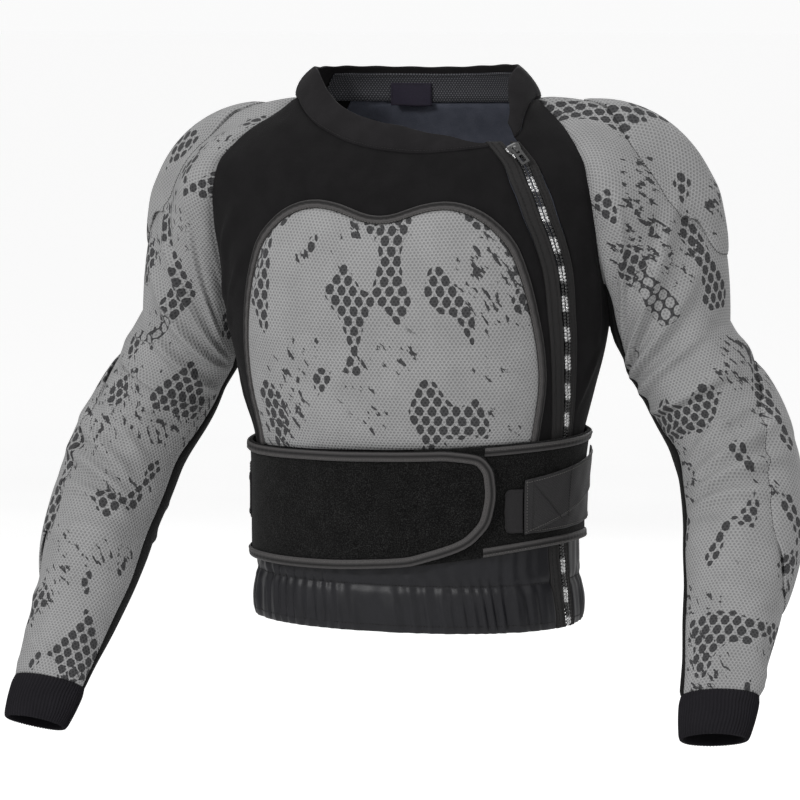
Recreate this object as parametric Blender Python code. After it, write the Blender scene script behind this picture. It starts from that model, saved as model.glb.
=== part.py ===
"""Body protector: a long-sleeved protective jacket with soft armour pads, worn by a body that is not there.

Metres, +Z up. The wearer faces -Y and has the left arm at +X. The origin lies on the body's axis, level
with the sides of the neck seam. Two smooth forms carry everything: torso_surface, read by angle from the
front and height, and sleeve_surface, read by angle round the arm and place along it. Cloth panels are walls
on a net of points of these forms, so that neighbours share their edges. Belt, pads and bindings lie over
them in layers.
"""
import math

import bmesh
import bpy
import numpy as np
from mathutils import Matrix, Vector

# Body, measured on the outside of the cloth
CHEST_HALF_WIDTH = 0.190
CHEST_FRONT = 0.130
CHEST_BACK = 0.128
BODY_LENGTH = 0.517
ARMPIT_DROP = 0.225
ARMPIT_ANGLE = 97.0
SECTION_POWER = 2.2

# Cloth and seams
CLOTH = 0.0018
LINING = 0.0010
SEAM = 0.0005
CLEAR = 0.0005
LAYER_CLEAR = 0.0012

# Neck and collar
NECK_DROP = 0.052
COLLAR_HEIGHT = 0.032
COLLAR_THICKNESS = 0.0026
RIM_HALF_WIDTH = 0.102
RIM_FRONT_DEPTH = 0.083
RIM_BACK_DEPTH = 0.070
NECK_MESH_SHARE = 0.80
LABEL_TOP = 0.52
LABEL_WIDTH = 0.042
LABEL_HEIGHT = 0.023
LABEL_ANGLE = 197.0
LABEL_STAND_OFF = 0.0002
LINING_DEPTH = 0.130

# Arms
SHOULDER_REACH = 0.240
ARM_SPREAD = 0.106
ARM_SWING = 0.160
ARM_DROP = 0.336
ARM_RADIUS = 0.060
RIGHT_SLEEVE_SLIP = 0.025
RIGHT_SHOULDER_DROOP = 0.17
WRIST_UPRIGHT = 0.40
WRIST_FLATNESS = 0.36
CUFF_LENGTH = 0.048
CUFF_THICKNESS = 0.0024
CUFF_RIBS = 18
RIB_DEPTH = 0.0012

# Chest panel
CHEST_PAD_ANGLE = 57.0
CHEST_PAD_HEIGHT = 0.246
CHEST_PAD_LIFT = 0.0110
CHEST_PAD_EDGE = 0.0034
BINDING_WIDTH = 0.0080
BINDING_THICKNESS = 0.0026

# Arm pads
PAD_LIFT = 0.0075
PAD_EDGE = 0.0014
PAD_CLEAR = 0.0019

# Belt and straps
BELT_HEIGHT = 0.115
BELT_THICKNESS = 0.0030
BELT_CLEAR = 0.0026
TAPE_WIDTH = 0.0085
TAPE_THICKNESS = 0.0012
TAPE_CLEAR = 0.0006
STRAP_THICKNESS = 0.0015
TAB_LENGTH = 0.016
TAB_HEIGHT = 0.041
TAB_THICKNESS = 0.0020

# Skirt
SKIRT_LENGTH = 0.093
SKIRT_STITCH_UP = 0.045
SKIRT_TOP = BODY_LENGTH - SKIRT_LENGTH
SKIRT_STITCH = BODY_LENGTH - SKIRT_STITCH_UP
SKIRT_FOLDS = 34
FOLD_DEPTH = 0.0030
SKIRT_FLARE = 0.0040
SKIRT_GATHER = 0.0050

# Zip
ZIP_TAPE_RIGHT = 0.0150
ZIP_TAPE_LEFT = 0.0090
ZIP_TAPE_THICKNESS = 0.0016
CHAIN_WIDTH = 0.0070
CHAIN_HEIGHT = 0.0012
SLIDER_LENGTH = 0.0150
SLIDER_TOP_WIDTH = 0.0150
SLIDER_END_WIDTH = 0.0105
SLIDER_PLATE = 0.0016
BRIDGE_HALF_LENGTH = 0.0040
BRIDGE_HEIGHT = 0.0037
BRIDGE_WIDTH = 0.0026
BRIDGE_THICKNESS = 0.0013
PULL_LENGTH = 0.0200
PULL_WIDTH = 0.0090
PULL_THICKNESS = 0.0016
PULL_RIM = 0.0023
PULL_AXIS_HEIGHT = 0.0015

# Torso sections. level: -1 hem, 0 armpit, 1 side of the neck; the others are shares of the chest sizes
TORSO = {
    "level": (-1.0, -0.76, -0.36, -0.22, 0, 0.11, 0.29, 0.47, 0.64, 0.73, 0.80, 0.87, 0.91, 1.0),
    "width": (0.88, 0.86, 0.885, 0.94, 1.015, 1.035, 1.07, 1.13, 1.18, 1.155, 1.04, 0.905, 0.805, 0.655),
    "front": (0.90, 0.87, 0.885, 0.935, 0.995, 1.01, 1.0, 0.96, 0.89, 0.83, 0.77, 0.715, 0.68, 0.61),
    "back": (0.90, 0.85, 0.86, 0.93, 1.0, 1.02, 1.03, 1.0, 0.94, 0.89, 0.83, 0.76, 0.71, 0.61),
}

# Seam between yoke and sleeve: angle from the front, for the torso's level
RAGLAN_FRONT = {"level": (0, 0.11, 0.29, 0.47, 0.64, 0.73, 0.80, 0.87, 0.91, 1.0),
                "angle": (ARMPIT_ANGLE, 88, 75, 65, 57.5, 57, 62, 70, 79, 88)}
RAGLAN_BACK = {"level": (0, 0.11, 0.29, 0.47, 0.64, 0.80, 0.91, 1.0),
               "angle": (ARMPIT_ANGLE, 104, 112, 119, 124, 124, 120, 116)}

# Neck seam: how far it lies below the origin, as a share of NECK_DROP
NECK_SEAM = {"angle": (-180, -130, -110, -84, -57, -35, -20, -8, 4, 19, 36, 52, 72, 84, 110, 130, 180),
             "drop": (0.04, 0, 0, 0, 0.06, 0.35, 0.60, 0.84, 0.98, 0.93, 0.76, 0.41, 0.08, 0, 0, 0, 0.04)}

# Height of the collar band over the neck seam, as a share of COLLAR_HEIGHT; it runs out at the zip
COLLAR_BAND = {"angle": (-180, -90, -57, -46, -36, -24, -7, 4, 14, 22, 30, 36, 42, 50, 58, 66, 75, 90, 180),
               "height": (0.98, 0.94, 0.92, 0.80, 0.71, 0.75, 0.80, 0.78, 0.69, 0.56, 0.42, 0.24, 0.12, 0.36,
                          0.62, 0.75, 0.84, 0.94, 0.98),
               "lean": (0.98, 0.94, 0.88, 0.90, 0.92, 0.97, 1.0, 1.0, 0.84, 0.60, 0.38, 0.20, 0.12, 0.17,
                        0.36, 0.62, 0.83, 0.94, 0.98)}

# Line of the zip: angle from the front at each drop, as a share of BODY_LENGTH
ZIP_LINE = {"drop": (0.07, 0.13, 0.20, 0.26, 0.30, 0.42, 0.49, 0.56, 0.64, 0.85, 1.0),
            "angle": (35, 36.3, 42.4, 49.5, 54, 61, 64.6, 69, 74, 75, 78.6)}

# Outline of the chest panel from its lower corner to the dip in the middle of its top: shares of
# CHEST_PAD_ANGLE across and of CHEST_PAD_HEIGHT up
CHEST_OUTLINE = {"across": (1.0, 0.98, 0.93, 0.86, 0.77, 0.66, 0.545, 0.447, 0.35, 0.256, 0.154, 0.065, 0.0),
                 "up": (0.0, 0.22, 0.36, 0.51, 0.68, 0.82, 0.905, 0.958, 0.99, 1.0, 0.984, 0.952, 0.94)}
CHEST_CORNER = 5

# Edges of the belt: how far below BELT_DROP each lies, as shares of BELT_HEIGHT
BELT_UP = 0.174
BELT_DROP = BODY_LENGTH - BELT_UP
BELT_EDGES = {"angle": (-180, -120, -60, 0, 18, 31, 52, 90, 130, 180),
              "top": (-0.16, -0.06, 0.0, -0.03, -0.05, -0.07, -0.10, -0.13, -0.15, -0.16),
              "bottom": (0.93, 0.98, 1.01, 0.966, 0.91, 0.868, 0.81, 0.785, 0.86, 0.93)}

# Rounded end of the over wing: angle at each share of the belt's height from the top
WING_END = {"down": (0, 0.04, 0.14, 0.32, 0.56, 0.78, 0.92, 1.0),
            "angle": (20, 29, 35, 37.6, 37.4, 33.3, 24, 9)}
WING_COLUMNS = (0.26, 0.52, 0.77, 1.0)
WING_START = -100.0
TAPE_START = 39.5
WING_STRAIGHT = 0.0
UNDER_WING_END = 10.0

# Arm rings from under the armpit to the cuff: shares of ARM_DROP, ARM_SPREAD, ARM_SWING and ARM_RADIUS
ARM = {
    "drop": (0.07, 0.145, 0.22, 0.305, 0.39, 0.48, 0.565, 0.65, 0.74, 0.825, 0.91, 0.99),
    "spread": (0.18, 0.33, 0.455, 0.61, 0.73, 0.80, 0.86, 0.89, 0.915, 0.935, 0.955, 0.97),
    "swing": (0.27, 0.27, 0.28, 0.24, 0.15, 0.04, -0.08, -0.22, -0.35, -0.52, -0.70, -0.86),
    "radius": (0.95, 0.955, 0.955, 0.95, 0.93, 0.915, 0.90, 0.87, 0.82, 0.755, 0.69, 0.64),
}

# How the sleeve leaves its seam, by angle round the arm (0 outside, 90 front, 180 armpit): direction out,
# back and up, and how far it holds that direction and the arm's own, as shares of the distance between
SHOULDER = {
    "angle": (-180, -151, -110, -70, -36, 0, 36, 70, 110, 151, 180),
    "out": (0.4, 0.75, 0.90, 1.0, 1.0, 1.0, 1.0, 0.90, 0.70, 0.70, 0.4),
    "back": (0, 0.15, 0.30, 0.15, 0, 0, 0, -0.35, -0.45, -0.15, 0),
    "up": (-0.9, -0.6, -0.2, 0.02, 0.02, 0.0, 0.02, 0.0, -0.20, -0.6, -0.9),
    "leave": (0.3, 0.45, 0.60, 0.90, 1.05, 1.08, 1.05, 0.90, 0.60, 0.45, 0.3),
    "arrive": (0.6, 0.8, 1.1, 1.5, 1.80, 1.90, 1.80, 1.5, 1.1, 0.8, 0.6),
}
NECK_PART = 36.0

# Arm pads: reach round the arm and along it, cells each way, and how square the outline is
ARM_PADS = {
    "shoulder_pad": {"turns": (-62, 54), "rows": (-0.86, -0.13), "columns": 11, "lines": 12, "square": 2.6},
    "elbow_pad": {"turns": (-118, 48), "rows": (0.13, 0.76), "columns": 13, "lines": 9, "square": 3.0},
}

# Elastic straps: angles of their ends, and their upper and lower edges at both as shares of BELT_HEIGHT
STRAPS = {
    "strap_left_lower": {"start": 51.5, "end": 108, "tops": (0.61, 0.25), "ends": (0.67, 0.62), "layer": 0},
    "strap_left_upper": {"start": 50.5, "end": 108, "tops": (0.21, 0.01), "ends": (0.675, 0.30), "layer": 1},
    "strap_right": {"start": -80, "end": -128, "tops": (0.21, 0.02), "ends": (0.70, 0.45), "layer": 0},
}

# Nets: rows of the torso above the armpit, shared with the columns of the sleeve
YOKE_ROWS = (0, 0.20, 0.33, 0.46, 0.58, 0.70, 0.80, 0.90, 1.0)
SKIRT_ROWS = 2
WAIST_ROWS = 5
FRONT_CELLS = 11
LEFT_CELLS = 3
BACK_CELLS = 12
SHOULDER_ROWS = (-1.0, -0.82, -0.64, -0.46, -0.28, -0.13)
ARM_ROWS = 9
ZIP_TOP = 0.040

COLOURS = {
    "yoke": ((0.017, 0.0165, 0.0165), 0.85),
    "collar": ((0.022, 0.019, 0.018), 0.85),
    "mesh": ((0.38, 0.38, 0.38), 0.80),
    "lining": ((0.020, 0.024, 0.035), 0.75),
    "neck_mesh": ((0.06, 0.06, 0.065), 0.85),
    "label": ((0.022, 0.015, 0.030), 0.60),
    "binding": ((0.053, 0.049, 0.049), 0.75),
    "belt": ((0.009, 0.009, 0.009), 0.95),
    "strap": ((0.042, 0.041, 0.042), 0.80),
    "skirt": ((0.014, 0.014, 0.019), 0.55),
    "knit": ((0.024, 0.022, 0.027), 0.90),
    "zip": ((0.012, 0.012, 0.012), 0.25),
}


def through(xs, ys, x):
    """Smooth curve through the points (xs, ys), read at x: cubic pieces with Catmull-Rom slopes."""
    xs = np.asarray(xs, float)
    ys = np.asarray(ys, float)
    x = np.clip(np.asarray(x, float), xs[0], xs[-1])
    slopes = np.gradient(ys, xs)
    i = np.clip(np.searchsorted(xs, x, side="right") - 1, 0, len(xs) - 2)
    span = xs[i + 1] - xs[i]
    t = (x - xs[i]) / span
    start = (2 * t**3 - 3 * t**2 + 1) * ys[i] + (t**3 - 2 * t**2 + t) * span * slopes[i]
    end = (3 * t**2 - 2 * t**3) * ys[i + 1] + (t**3 - t**2) * span * slopes[i + 1]
    return start + end


def unit(vectors):
    return vectors / np.linalg.norm(vectors, axis=-1, keepdims=True)


def smooth(x, low, high):
    """0 below low, 1 above high, and a smooth step between them."""
    t = np.clip((np.asarray(x, float) - low) / (high - low), 0, 1)
    return t * t * (3 - 2 * t)


def around(angle):
    """An angle brought between -180 and 180 degrees."""
    return (np.asarray(angle, float) + 180) % 360 - 180


def height_at(level):
    """Height of a torso level: -1 hem, 0 armpit, 1 side of the neck."""
    level = np.asarray(level, float)
    below = -ARMPIT_DROP + level * (BODY_LENGTH - ARMPIT_DROP)
    return np.where(level < 0, below, ARMPIT_DROP * (level - 1))


def level_at(z):
    z = np.asarray(z, float)
    below = (z + ARMPIT_DROP) / (BODY_LENGTH - ARMPIT_DROP)
    return np.where(z < -ARMPIT_DROP, below, 1 + z / ARMPIT_DROP)


def torso_surface(angle, z):
    """Point of the bare torso form. angle: degrees from the front, towards the wearer's left."""
    turn, z = np.broadcast_arrays(np.radians(angle), np.asarray(z, float))
    level = level_at(z)
    sine, cosine = np.sin(turn), np.cos(turn)
    front = CHEST_FRONT * through(TORSO["level"], TORSO["front"], level)
    back = CHEST_BACK * through(TORSO["level"], TORSO["back"], level)
    width = CHEST_HALF_WIDTH * through(TORSO["level"], TORSO["width"], level)
    x = width * np.sign(sine) * np.abs(sine) ** (2 / SECTION_POWER)
    y = -np.where(cosine > 0, front, back) * np.sign(cosine) * np.abs(cosine) ** (2 / SECTION_POWER)
    return np.stack([x, y, z], -1)


def normals_of(surface, a, b, step_a, step_b):
    """Outward unit normals of a surface read at (a, b)."""
    across = surface(a + step_a, b) - surface(a - step_a, b)
    along = surface(a, b + step_b) - surface(a, b - step_b)
    return unit(np.cross(across, along))


def torso_normal(angle, z):
    return normals_of(torso_surface, np.asarray(angle, float), np.minimum(z, -0.0011), 0.8, 0.001)


def on_torso(angle, z, lift):
    """Point at a lift over the torso form."""
    return torso_surface(angle, z) + torso_normal(angle, z) * np.asarray(lift)[..., None]


def degrees_for(length, angle, z):
    """Angle that covers a length round the torso form."""
    step = 0.5
    run = np.linalg.norm(torso_surface(angle + step, z) - torso_surface(angle - step, z), axis=-1)
    return length * 2 * step / run


def neck_height(angle):
    return -NECK_DROP * through(NECK_SEAM["angle"], NECK_SEAM["drop"], around(angle))


def zip_angle(z):
    return through(ZIP_LINE["drop"], ZIP_LINE["angle"], -np.asarray(z, float) / BODY_LENGTH)


def belt_top(angle):
    return -BELT_DROP - BELT_HEIGHT * through(BELT_EDGES["angle"], BELT_EDGES["top"], around(angle))


def belt_bottom(angle):
    return -BELT_DROP - BELT_HEIGHT * through(BELT_EDGES["angle"], BELT_EDGES["bottom"], around(angle))


def raglan_loop(turn):
    """Seam of the left sleeve, by angle round the arm: armpit, front, neck, back, armpit."""
    turn = np.asarray(turn, float)
    rise = np.clip((180 - np.abs(turn)) / (180 - NECK_PART), 0, 1)
    level = rise
    front = through(RAGLAN_FRONT["level"], RAGLAN_FRONT["angle"], level)
    back = through(RAGLAN_BACK["level"], RAGLAN_BACK["angle"], level)
    share = np.clip((NECK_PART - turn) / (2 * NECK_PART), 0, 1)
    neck = RAGLAN_FRONT["angle"][-1] + share * (RAGLAN_BACK["angle"][-1] - RAGLAN_FRONT["angle"][-1])
    angle = np.where(np.abs(turn) < NECK_PART, neck, np.where(turn > 0, front, back))
    return torso_surface(angle, height_at(level))


def arm_ring(turn, along, slip):
    """Point of the left arm form below the armpit; along runs from 0 to 1 at the cuff and on past it."""
    steps = np.linspace(0, 1, len(ARM["drop"]))

    def centre(t):
        over = np.maximum(t - 1, 0)
        t = np.clip(t, 0, 1)
        drop = through(steps, ARM["drop"], t) * ARM_DROP
        x = SHOULDER_REACH + through(steps, ARM["spread"], t) * ARM_SPREAD
        y = through(steps, ARM["swing"], t) * ARM_SWING
        middle = np.stack([x, y, -ARMPIT_DROP - drop - slip * smooth(t, 0, 1)], -1)
        return middle, over

    def axis(t):
        step = 0.02
        ahead, _ = centre(np.clip(t + step, 0, 1))
        behind, _ = centre(np.clip(t - step, 0, 1))
        return unit(ahead - behind)

    turn, along = np.broadcast_arrays(np.asarray(turn, float), np.asarray(along, float))
    middle, over = centre(along)
    down = axis(np.clip(along, 0.02, 0.98))
    middle = middle + down * (over * ARM_DROP)[..., None]
    wrist = smooth(along, 0.60, 1.0)[..., None]
    down = unit(down * (1 - WRIST_UPRIGHT * wrist) + np.array([0.16, -0.20, -1.0]) * WRIST_UPRIGHT * wrist)
    outward = unit(np.array([1.0, 0, 0]) - down * down[..., :1])
    forward = np.cross(down, outward)
    forward = np.where(forward[..., 1:2] > 0, -forward, forward)
    radius = ARM_RADIUS * through(steps, ARM["radius"], np.clip(along, 0, 1)) * (1 - 1.1 * over)
    angle = np.radians(turn)
    forward = forward * (1 - WRIST_FLATNESS * wrist)
    ring = outward * np.cos(angle)[..., None] + forward * np.sin(angle)[..., None]
    return middle + ring * radius[..., None]


def sleeve_surface(turn, along, slip=0.0):
    """Point of the bare left sleeve form. along: -1 at the seam, 0 under the armpit, 1 at the cuff."""
    turn, along = np.broadcast_arrays(np.asarray(turn, float), np.asarray(along, float))
    turn = around(turn)
    start = raglan_loop(turn)
    end = arm_ring(turn, np.zeros_like(along), slip)
    gap = np.linalg.norm(end - start, axis=-1, keepdims=True)
    keys = [key for key in SHOULDER if key != "angle"]
    read = {key: through(SHOULDER["angle"], SHOULDER[key], turn)[..., None] for key in keys}
    hang = (1 + np.cos(np.radians(turn)))[..., None] / 2
    droop = RIGHT_SHOULDER_DROOP * slip / RIGHT_SLEEVE_SLIP * hang**2
    leave = unit(np.concatenate([read["out"], read["back"], read["up"] - droop], -1)) * gap * read["leave"]
    axis = unit(arm_ring(turn, np.full_like(along, 0.04), slip) - end)
    arrive = unit(hang * np.array([0.0, 0.0, -1.0]) + (1 - hang) * axis) * gap * read["arrive"]
    t = np.clip(along + 1, 0, 1)[..., None]
    shoulder = (2 * t**3 - 3 * t**2 + 1) * start + (t**3 - 2 * t**2 + t) * leave
    shoulder = shoulder + (3 * t**2 - 2 * t**3) * end + (t**3 - t**2) * arrive
    return np.where(along[..., None] < 0, shoulder, arm_ring(turn, np.maximum(along, 0), slip))


def sleeve_normal(turn, along, slip=0.0):
    along = np.maximum(along, -0.985)
    return normals_of(lambda a, b: sleeve_surface(a, b, slip), turn, along, 1.5, 0.012)


def on_sleeve(turn, along, lift, slip=0.0):
    """Point at a lift over the left sleeve form."""
    return sleeve_surface(turn, along, slip) + sleeve_normal(turn, along, slip) * np.asarray(lift)[..., None]


def grid_mesh(name, grid, colour, smooth_shade=True):
    """Object from a closed solid's points: a list of rows of points and the faces between them."""
    points, faces = grid
    mesh = bpy.data.meshes.new(name)
    mesh.from_pydata([tuple(p) for p in points], [], faces)
    shape = bmesh.new()
    shape.from_mesh(mesh)
    bmesh.ops.remove_doubles(shape, verts=shape.verts, dist=0.00001)
    bmesh.ops.recalc_face_normals(shape, faces=shape.faces)
    shape.to_mesh(mesh)
    shape.free()
    if smooth_shade:
        mesh.shade_smooth()
        mesh.set_sharp_from_angle(angle=math.radians(40))
    return add_object(name, mesh, colour)


def material(name):
    if name in bpy.data.materials:
        return bpy.data.materials[name]
    (red, green, blue), roughness = COLOURS[name]
    made = bpy.data.materials.new(name)
    made.use_nodes = True
    shader = made.node_tree.nodes["Principled BSDF"]
    shader.inputs["Base Color"].default_value = (red, green, blue, 1)
    shader.inputs["Roughness"].default_value = roughness
    made.diffuse_color = (red, green, blue, 1)
    return made


def collection(name):
    if name not in bpy.data.collections:
        bpy.context.scene.collection.children.link(bpy.data.collections.new(name))
    return bpy.data.collections[name]


def add_object(name, data, colour):
    made = bpy.data.objects.new(name, data)
    data.materials.append(material(colour))
    collection("body_protector").objects.link(made)
    return made


def wall(outer, inner, closed=False):
    """Solid between two grids of points; closed joins the last column to the first."""
    rows, columns = outer.shape[:2]
    count = rows * columns
    points = np.concatenate([outer.reshape(-1, 3), inner.reshape(-1, 3)])
    faces = []

    def at(row, column, side):
        return side * count + row * columns + column % columns

    last = columns if closed else columns - 1
    for row in range(rows - 1):
        for column in range(last):
            corners = ((row, column), (row, column + 1), (row + 1, column + 1), (row + 1, column))
            for half in ((0, 1, 2), (0, 2, 3)):
                faces.append([at(*corners[k], 0) for k in half])
                faces.append([at(*corners[k], 1) for k in reversed(half)])
    for column in range(last):
        faces.append([at(0, column + 1, 0), at(0, column, 0), at(0, column, 1), at(0, column + 1, 1)])
        end = rows - 1
        faces.append([at(end, column, 0), at(end, column + 1, 0), at(end, column + 1, 1), at(end, column, 1)])
    if not closed:
        for row in range(rows - 1):
            faces.append([at(row, 0, 0), at(row + 1, 0, 0), at(row + 1, 0, 1), at(row, 0, 1)])
            edge = columns - 1
            faces.append([at(row + 1, edge, 0), at(row, edge, 0), at(row, edge, 1), at(row + 1, edge, 1)])
    return points, faces


def seamed(grid, sides="tblr", gap=SEAM):
    """The grid with its named sides (top, bottom, left, right) drawn in by half a seam gap."""
    grid = grid.copy()

    def draw_in(edge, inner):
        edge += unit(inner - edge) * gap / 2

    if "t" in sides:
        draw_in(grid[0], grid[1].copy())
    if "b" in sides:
        draw_in(grid[-1], grid[-2].copy())
    if "l" in sides:
        draw_in(grid[:, 0], grid[:, 1].copy())
    if "r" in sides:
        draw_in(grid[:, -1], grid[:, -2].copy())
    return grid


def panel(name, points, normals, thickness, colour, sides="tblr", closed=False):
    """Cloth wall whose outside is the grid of points; it grows inwards along the normals."""
    outer = seamed(points, sides)
    inner = seamed(points - normals * thickness, sides)
    return grid_mesh(name, wall(outer, inner, closed), colour)


def mirrored(grid):
    return grid * np.array([-1.0, 1, 1])


def front_columns(z, row_height):
    """Angles of the front net at one row: right panel, zip tapes and left panel. z: heights of its zip."""
    edge = zip_angle(z)
    half = CHAIN_WIDTH / 2 + SEAM
    right_edge = edge - degrees_for(half + ZIP_TAPE_RIGHT, edge, z)
    right_teeth = edge - degrees_for(half, edge, z)
    left_teeth = edge + degrees_for(half, edge, z)
    left_edge = edge + degrees_for(half + ZIP_TAPE_LEFT, edge, z)
    side = through(RAGLAN_FRONT["level"], RAGLAN_FRONT["angle"], level_at(row_height))
    side = np.where(level_at(row_height) > 0, side, ARMPIT_ANGLE)
    right = np.linspace(-side, right_edge, FRONT_CELLS + 1)
    left = np.linspace(left_edge, side, LEFT_CELLS + 1)
    return np.concatenate([right, [right_teeth, left_teeth], left])


def torso_nets():
    """Angles and heights of the front and back nets, rows from the hem up to the neck."""
    waist = np.linspace(-SKIRT_TOP, -ARMPIT_DROP, WAIST_ROWS + 1)[:-1]
    lower = np.concatenate([[-BODY_LENGTH, -(BODY_LENGTH + SKIRT_TOP) / 2], waist])
    front_top = front_columns(neck_height(zip_angle(-ZIP_TOP)), 0.0)
    back_top = np.linspace(RAGLAN_BACK["angle"][-1], 360 - RAGLAN_BACK["angle"][-1], BACK_CELLS + 1)
    zip_top = neck_height(zip_angle(-ZIP_TOP))
    nets = {"front": [], "back": []}
    for z in lower:
        angles = front_columns(z, z)
        nets["front"].append((angles, np.full_like(angles, z)))
        angles = np.linspace(ARMPIT_ANGLE, 360 - ARMPIT_ANGLE, BACK_CELLS + 1)
        nets["back"].append((angles, np.full_like(angles, z)))
    for share in YOKE_ROWS:
        side = height_at(share)
        zip_z = -ARMPIT_DROP * (1 - share) + zip_top * share
        angles = front_columns(zip_z, side)
        nets["front"].append((angles, -ARMPIT_DROP * (1 - share) + neck_height(front_top) * share))
        edge = through(RAGLAN_BACK["level"], RAGLAN_BACK["angle"], share)
        angles = np.linspace(edge, 360 - edge, BACK_CELLS + 1)
        nets["back"].append((angles, -ARMPIT_DROP * (1 - share) + neck_height(back_top) * share))
    return {key: tuple(np.array(part) for part in zip(*rows)) for key, rows in nets.items()}


def shared_normals(points, normals, edge_turns, column):
    """Turn the normals along a raglan edge halfway towards those of the sleeve, so that both walls meet."""
    rows = len(edge_turns)
    sleeve = sleeve_normal(edge_turns, np.full(rows, -0.985))
    if points[-1, column, 0] < 0:
        sleeve = mirrored(sleeve)
    normals[-rows:, column] = unit(normals[-rows:, column] + sleeve)


def turns_of_rows():
    """Angles round the arm of the sleeve's columns from the armpit up to the neck."""
    return 180 - np.array(YOKE_ROWS) * (180 - NECK_PART)


def make_torso(nets):
    turns = turns_of_rows()
    angle, z = nets["front"]
    points = torso_surface(angle, z)
    normals = torso_normal(angle, z)
    shared_normals(points, normals, turns, 0)
    shared_normals(points, normals, turns, -1)
    first = SKIRT_ROWS
    right = FRONT_CELLS + 1
    panel("body_front_right", points[first:, :right], normals[first:, :right], CLOTH, "yoke")
    panel("body_front_left", points[first:, right + 2:], normals[first:, right + 2:], CLOTH, "yoke")
    make_zip_tapes(angle, z, right)
    angle, z = nets["back"]
    back = torso_surface(angle, z)
    back_normals = torso_normal(angle, z)
    shared_normals(back, back_normals, -turns, 0)
    shared_normals(back, back_normals, -turns, -1)
    panel("body_back", back[first:], back_normals[first:], CLOTH, "yoke")
    lining_rows = z[:, 0] > -LINING_DEPTH - NECK_DROP
    rows = np.flatnonzero(lining_rows)[:-1]
    middle = slice(2, BACK_CELLS - 1)
    lift = CLOTH + CLEAR
    outer = back[rows][:, middle] - back_normals[rows][:, middle] * lift
    inner = outer - back_normals[rows][:, middle] * LINING
    grid_mesh("back_lining", wall(outer, inner), "lining")
    return points[-1], back[-1]


def make_zip_tapes(angle, z, right):
    """Both tapes and, between them, the closed row of teeth, from the neck down to the hem."""
    points = torso_surface(angle, z)
    normals = torso_normal(angle, z)
    tapes = (("zip_tape_right", slice(right - 1, right + 1)), ("zip_tape_left", slice(right + 1, right + 3)))
    for name, columns in tapes:
        panel(name, points[:, columns], normals[:, columns], ZIP_TAPE_THICKNESS, "binding", sides="tblr")
    left_edge, right_edge = points[:, right], points[:, right + 1]
    across = unit(right_edge - left_edge)
    middle = (left_edge + right_edge) / 2
    normal = unit(normals[:, right] + normals[:, right + 1])
    profile = ((-0.5, -0.6), (-0.5, 0.5), (-0.28, 1.0), (0.28, 1.0), (0.5, 0.5), (0.5, -0.6))
    rings = [middle + across * side * CHAIN_WIDTH + normal * lift * CHAIN_HEIGHT for side, lift in profile]
    rows = np.stack(rings, 1)
    rows[-1] += unit(rows[-2] - rows[-1]) * SEAM
    grid_mesh("zip_chain", tube(rows), "zip")


def tube(rings):
    """Closed solid through rings of points, one row each, with flat ends."""
    rows, count = rings.shape[:2]
    faces = [list(range(count)), [(rows - 1) * count + k for k in reversed(range(count))]]
    for row in range(rows - 1):
        for k in range(count):
            nxt = (k + 1) % count
            faces.append([row * count + nxt, row * count + k, (row + 1) * count + k, (row + 1) * count + nxt])
    return rings.reshape(-1, 3), faces


def sleeve_rows():
    return np.concatenate([SHOULDER_ROWS, np.linspace(0, 1, ARM_ROWS)])


def sleeve_turns():
    side = turns_of_rows()
    neck = np.linspace(NECK_PART, -NECK_PART, 5)[1:-1]
    return np.concatenate([side, neck, -side[::-1]])


def make_sleeve(side, slip):
    """Grey outer panel and black under panel of one sleeve."""
    turns = sleeve_turns()
    rows = sleeve_rows()
    turn, along = np.meshgrid(turns, rows)
    points = sleeve_surface(turn, along, slip)
    normals = sleeve_normal(turn, along, slip)
    side_count = len(YOKE_ROWS)
    front_edge = raglan_torso_normal(turns[:side_count], 1)
    back_edge = raglan_torso_normal(turns[-side_count:], -1)
    torso = np.concatenate([front_edge, normals[0, side_count:-side_count], back_edge])
    normals[0] = unit(normals[0] + torso)
    if side == "right":
        points, normals = mirrored(points), mirrored(normals)
    count = len(turns)
    top = slice(1, count - 3)
    panel("sleeve_top_" + side, points[:, top], normals[:, top], CLOTH, "mesh")
    under = [count - 4, count - 3, count - 2, 0, 1]
    panel("sleeve_under_" + side, points[:, under], normals[:, under], CLOTH, "yoke")
    return points[0, 8:13]


def raglan_torso_normal(turns, facing):
    level = np.clip((180 - np.abs(turns)) / (180 - NECK_PART), 0, 1)
    table = RAGLAN_FRONT if facing > 0 else RAGLAN_BACK
    angle = through(table["level"], table["angle"], level)
    return torso_normal(angle, height_at(level))


def collar_band(angle):
    return COLLAR_HEIGHT * through(COLLAR_BAND["angle"], COLLAR_BAND["height"], around(angle))


def collar_rows(base, angle, shares):
    """Points of the collar's outside over its base points, at shares of the band's height."""
    band = collar_band(angle)
    turn = np.radians(angle)
    depth = np.where(np.cos(turn) > 0, RIM_FRONT_DEPTH, RIM_BACK_DEPTH)
    rim = np.stack([RIM_HALF_WIDTH * np.sin(turn), -depth * np.cos(turn), base[:, 2] + band], -1)
    lean = through(COLLAR_BAND["angle"], COLLAR_BAND["lean"], around(angle))[:, None]
    rim[:, :2] = base[:, :2] * (1 - lean) + rim[:, :2] * lean
    rows = []
    for share in shares:
        bow = 0.12 * share * (1 - share)
        point = base * (1 - share) + rim * share
        point[:, :2] += base[:, :2] * bow * lean
        rows.append(point)
    return np.stack(rows)


def grid_normals(points):
    """Normals of an open grid of points, rows and columns in torso order."""
    down = np.gradient(points, axis=0)
    across = np.gradient(points, axis=1)
    return unit(np.cross(across, down))


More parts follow.
